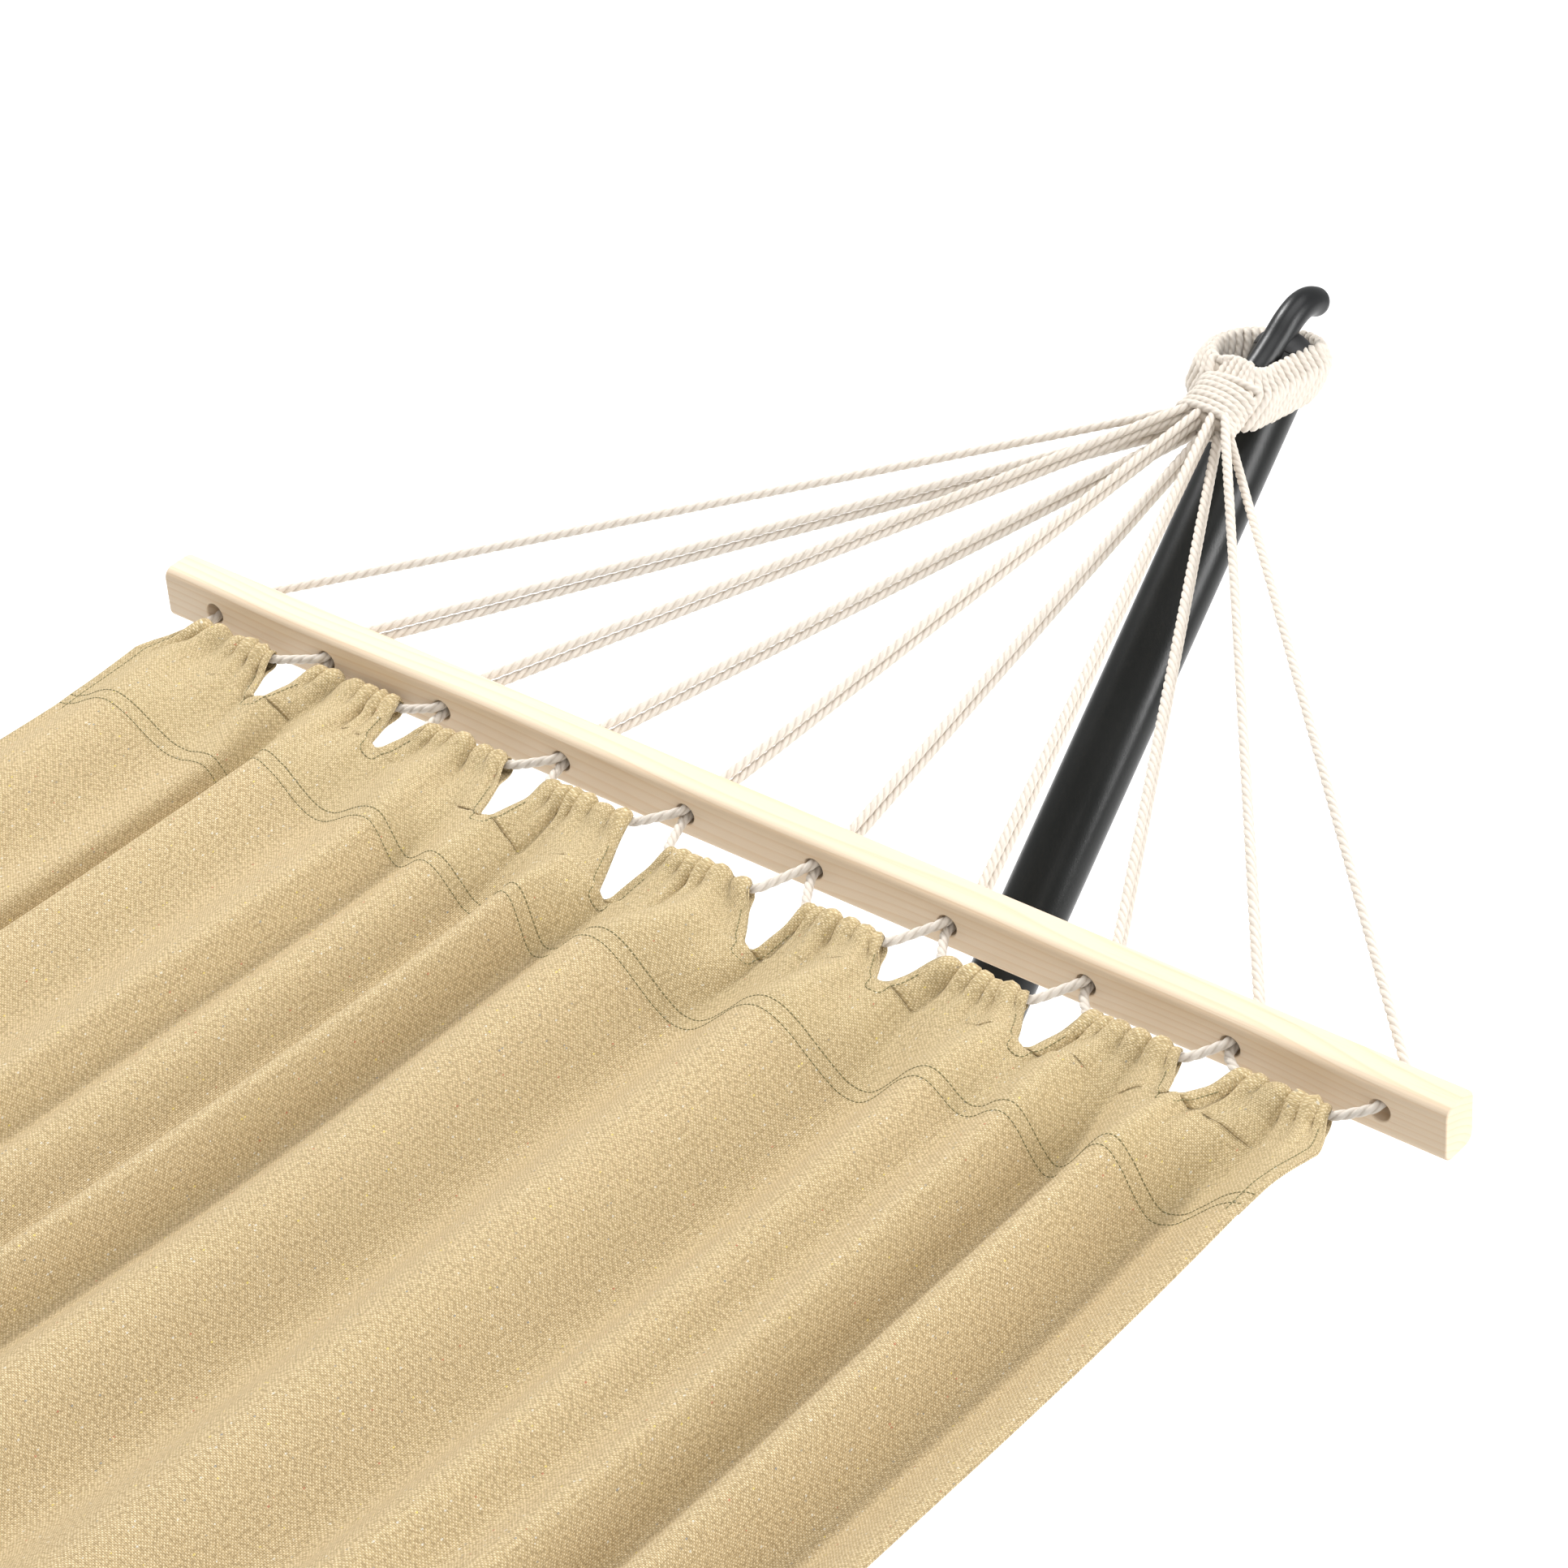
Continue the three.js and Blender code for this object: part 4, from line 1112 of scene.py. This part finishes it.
def stitch_mesh(name, runs, end):
    """Short raised thread stitches along each run of (points, normals)."""
    stitch, thread = 3.2 * MM, 0.34 * MM
    points, faces = [], []
    for path, normals in runs:
        run = lengths_along(path)
        for k in range(int(run[-1] / stitch)):
            at = (k + np.array((0.10, 0.3, 0.7, 0.90))) * stitch
            normal = unit(at_lengths(at, run, normals))
            rise = np.array((-0.2, 0.55, 0.55, -0.2))[:, None]
            centre = at_lengths(at, run, path) + normal * rise * thread
            tangent = unit(centre[-1] - centre[0])
            side = unit(np.cross(tangent, normal))
            start = len(points) * 6
            for row in range(4):
                radius = thread * (0.55 if row in (0, 3) else 1)
                angle = np.arange(6) * math.pi / 3
                ring = np.outer(np.cos(angle), side[row]) + np.outer(np.sin(angle), normal[row])
                points.append(centre[row] + radius * ring)
            faces += closed_faces(4, 6, start)
    return add_mesh(name, at_end(np.concatenate(points), end), faces, THREAD)


def softened(line):
    """A line with its corners rounded off; its two ends stay."""
    for _ in range(3):
        inner = (line[:-2] + line[1:-1] + line[2:]) / 3
        line = np.concatenate([line[:1], inner, line[-1:]])
    return line


def stitch_runs(top, normals, flat):
    """Two lines across the hem, one round each notch a little in from its edge, and the outer edges."""
    runs = []
    for distance in HEM_SEAMS:
        line, up = [], []
        for tab in range(TABS):
            for column in range(TAB_COLUMNS + (tab == TABS - 1)):
                row = np.interp(distance, flat[:, tab, column], np.arange(len(flat)))
                low = int(row)
                part = row - low
                line.append(top[low, tab, column] * (1 - part) + top[low + 1, tab, column] * part)
                up.append(normals[low, tab, column])
        runs.append((np.array(line), np.array(up)))
    inset = 3
    first_row = 14
    bottom_row = NOTCH_ROW + 4
    down = slice(first_row, bottom_row + 1)
    for tab in range(TABS - 1):
        left = top[down, tab, -1 - inset]
        right = top[down, tab + 1, inset][::-1]
        bottom = np.concatenate([top[bottom_row, tab, -inset:], top[bottom_row, tab + 1, 1:inset]])
        up = np.concatenate([
            normals[down, tab, -1 - inset],
            normals[bottom_row, tab, -inset:], normals[bottom_row, tab + 1, 1:inset],
            normals[down, tab + 1, inset][::-1],
        ])
        runs.append((softened(np.concatenate([left, bottom, right])), unit(softened(up))))
    for tab, column in ((0, inset), (TABS - 1, -1 - inset)):
        runs.append((top[first_row:, tab, column], normals[first_row:, tab, column]))
    return runs


def bed_cloth():
    columns_x = even_columns()
    cloth = Cloth()
    flat_u = np.linspace(0, FLAT_WIDTH, TOTAL_COLUMNS)
    tab_u = np.stack([flat_u[t * TAB_COLUMNS:(t + 1) * TAB_COLUMNS + 1] for t in range(TABS)])
    last_rows = {}
    hem_edges = {}
    half_flat = BAR_Y + 0.02
    for end, sign in ENDS.items():
        middle, flat = cloth_end(columns_x, 11 if end == "a" else 12)
        normals = surface_normals(middle)
        seam = unit(normals[NOTCH_ROW:, :-1, -1] + normals[NOTCH_ROW:, 1:, 0])
        normals[NOTCH_ROW:, :-1, -1] = normals[NOTCH_ROW:, 1:, 0] = seam
        offset = layer_offset(flat)[..., None]
        top = middle + normals * offset
        top = top - normals * LAYER * smoothstep(HEM - HEM_FADE, HEM, flat)[..., None]
        under = middle - normals * offset
        runs = stitch_runs(top + normals * CLOTH / 2, normals, flat)
        place(stitch_mesh(f"hem_stitching_{end}", runs, end), "hammock", "canvas")
        stacked = at_end(np.concatenate([under[:0:-1], top]), end)
        v = np.concatenate([-flat[:0:-1], flat])
        u = np.broadcast_to(tab_u, v.shape)
        if sign < 0:
            u = FLAT_WIDTH - u
        along = sign * (half_flat - v)
        hem = np.concatenate([np.ones_like(flat[:0:-1]), 1 - smoothstep(HEM - 9 * MM, HEM - 3 * MM, flat)])
        ids = cloth.add(stacked, np.stack([u, along], -1), hem)
        count = len(flat)
        # Below the notches neighbouring tabs share their seam's points, in both layers.
        for below in (slice(0, count - NOTCH_ROW), slice(count - 1 + NOTCH_ROW, 2 * count - 1)):
            ids[below, 1:, 0] = ids[below, :-1, -1]
        for tab in range(TABS):
            cloth.quads(ids[:, tab])
        last_rows[end] = np.append(ids[-1, :, :-1], ids[-1, -1, -1])
        hem_edges[end] = np.append(middle[-1, :, :-1, 1], middle[-1, -1, -1, 1])
    # The open bed between the two hems.
    edge = float(hem_edges["a"].max())
    count = int(2 * edge / BED_STEP)
    ys = np.linspace(edge, -edge, count + 1)[1:-1]
    near_a = smoothstep(edge - EDGE_BLEND, edge, ys)[:, None]
    near_b = smoothstep(edge - EDGE_BLEND, edge, -ys)[:, None]
    y_bed = ys[:, None] + (hem_edges["a"] - edge) * near_a - (hem_edges["b"][::-1] - edge) * near_b
    toward_a = smoothstep(-0.42, 0.42, ys)[:, None]
    fold_a = fold_height(columns_x)[None]
    fold_b = fold_a[:, ::-1]
    width = 1 + 0.018 * (1 - (ys / edge) ** 2)[:, None]
    x = (columns_x[None] * toward_a - columns_x[None, ::-1] * (1 - toward_a)) * width
    lull = 1 - 0.25 * np.exp(-(ys / 0.35) ** 2)[:, None]
    swell = 0.0022 * np.sin(9 * ys[:, None] + 23 * columns_x[None])
    folds = (fold_a * toward_a + fold_b * (1 - toward_a)) * lull
    z = bed_height(y_bed) + folds + swell * (1 - (ys[:, None] / edge) ** 8)
    bed = np.stack([x, y_bed, z], -1)
    along = ys * (half_flat - HEM) / edge
    uv = np.stack([np.broadcast_to(flat_u, x.shape), np.broadcast_to(along[:, None], x.shape)], -1)
    ids = cloth.add(bed, uv, np.zeros(x.shape))
    cloth.quads(np.concatenate([last_rows["a"][None], ids, last_rows["b"][None, ::-1]]))
    points = np.concatenate(cloth.points)
    faces = np.array(cloth.faces)
    used = np.unique(faces)
    renumber = np.full(len(points), -1)
    renumber[used] = np.arange(len(used))
    faces = renumber[faces].tolist()
    uv = np.concatenate(cloth.uv)[used]
    hem = np.concatenate(cloth.hem)[used]
    piece = add_mesh("bed_canvas", points[used], faces, CANVAS, uv, {"hem": hem})
    mesh = bmesh.new()
    mesh.from_mesh(piece.data)
    bmesh.ops.recalc_face_normals(mesh, faces=mesh.faces)
    mesh.to_mesh(piece.data)
    mesh.free()
    finished(piece, ("SOLIDIFY", {"thickness": CLOTH, "offset": 0}))
    place(piece, "hammock", "canvas", "bed_cloth")


# ---- floor, light and camera ----


def floor():
    half = 30
    corners = [(-half, -half, 0), (half, -half, 0), (half, half, 0), (-half, half, 0)]
    add_mesh("floor", corners, [(0, 1, 2, 3)], floor_material())


def area_light(name, position, target, size, energy, height=None):
    light = bpy.data.lights.new(name, "AREA")
    light.energy = energy
    light.size = size
    if height is not None:
        light.shape = "RECTANGLE"
        light.size_y = height
    lamp = bpy.data.objects.new(name, light)
    bpy.context.scene.collection.objects.link(lamp)
    lamp.location = position
    aim = np.array(target, float) - np.array(position, float)
    flat = math.hypot(aim[0], aim[1])
    lamp.rotation_euler = (math.atan2(flat, -aim[2]), 0, math.atan2(aim[1], aim[0]) - math.pi / 2)


def lights():
    world = bpy.data.worlds.new("soft_studio")
    bpy.context.scene.world = world
    world.use_nodes = True
    backdrop = world.node_tree.nodes["Background"]
    backdrop.inputs["Color"].default_value = (1, 1, 1, 1)
    backdrop.inputs["Strength"].default_value = 0.5
    area_light("key", (-3.4, 1.9, 4.3), (0, 0.5, 0.9), 1.0, 205)
    area_light("fill", (3.4, -2.6, 3.2), (0, 0.4, 0.9), 3.0, 36)
    area_light("wash", (1.5, 2.0, 6.0), (1.5, 2.0, 0), 4.0, 160)
    area_light("streak", (3.6, 2.4, 2.2), (0, 1.3, 0.8), 0.22, 110, height=2.4)


def camera():
    data = bpy.data.cameras.new("camera")
    data.lens = 110.86
    data.sensor_width = 36
    data.clip_end = 100
    view = bpy.data.objects.new("camera", data)
    bpy.context.scene.collection.objects.link(view)
    view.location = (1.5938, BAR_Y - 1.9483, BAR_Z + 1.5431)
    view.rotation_euler = (math.radians(90 - 30.961), 0, math.radians(38.987))
    bpy.context.scene.camera = view


camera()
floor()
lights()
base_tube()
for end in ENDS:
    for build in (elbow, arm, hook_tube, hook_plug, hook_rod, foot_tube, foot_caps, carried_over,
                  spreader_bar, ropes, eye_loop):
        build(end)
bed_cloth()
bpy.context.scene.view_settings.view_transform = "Standard"
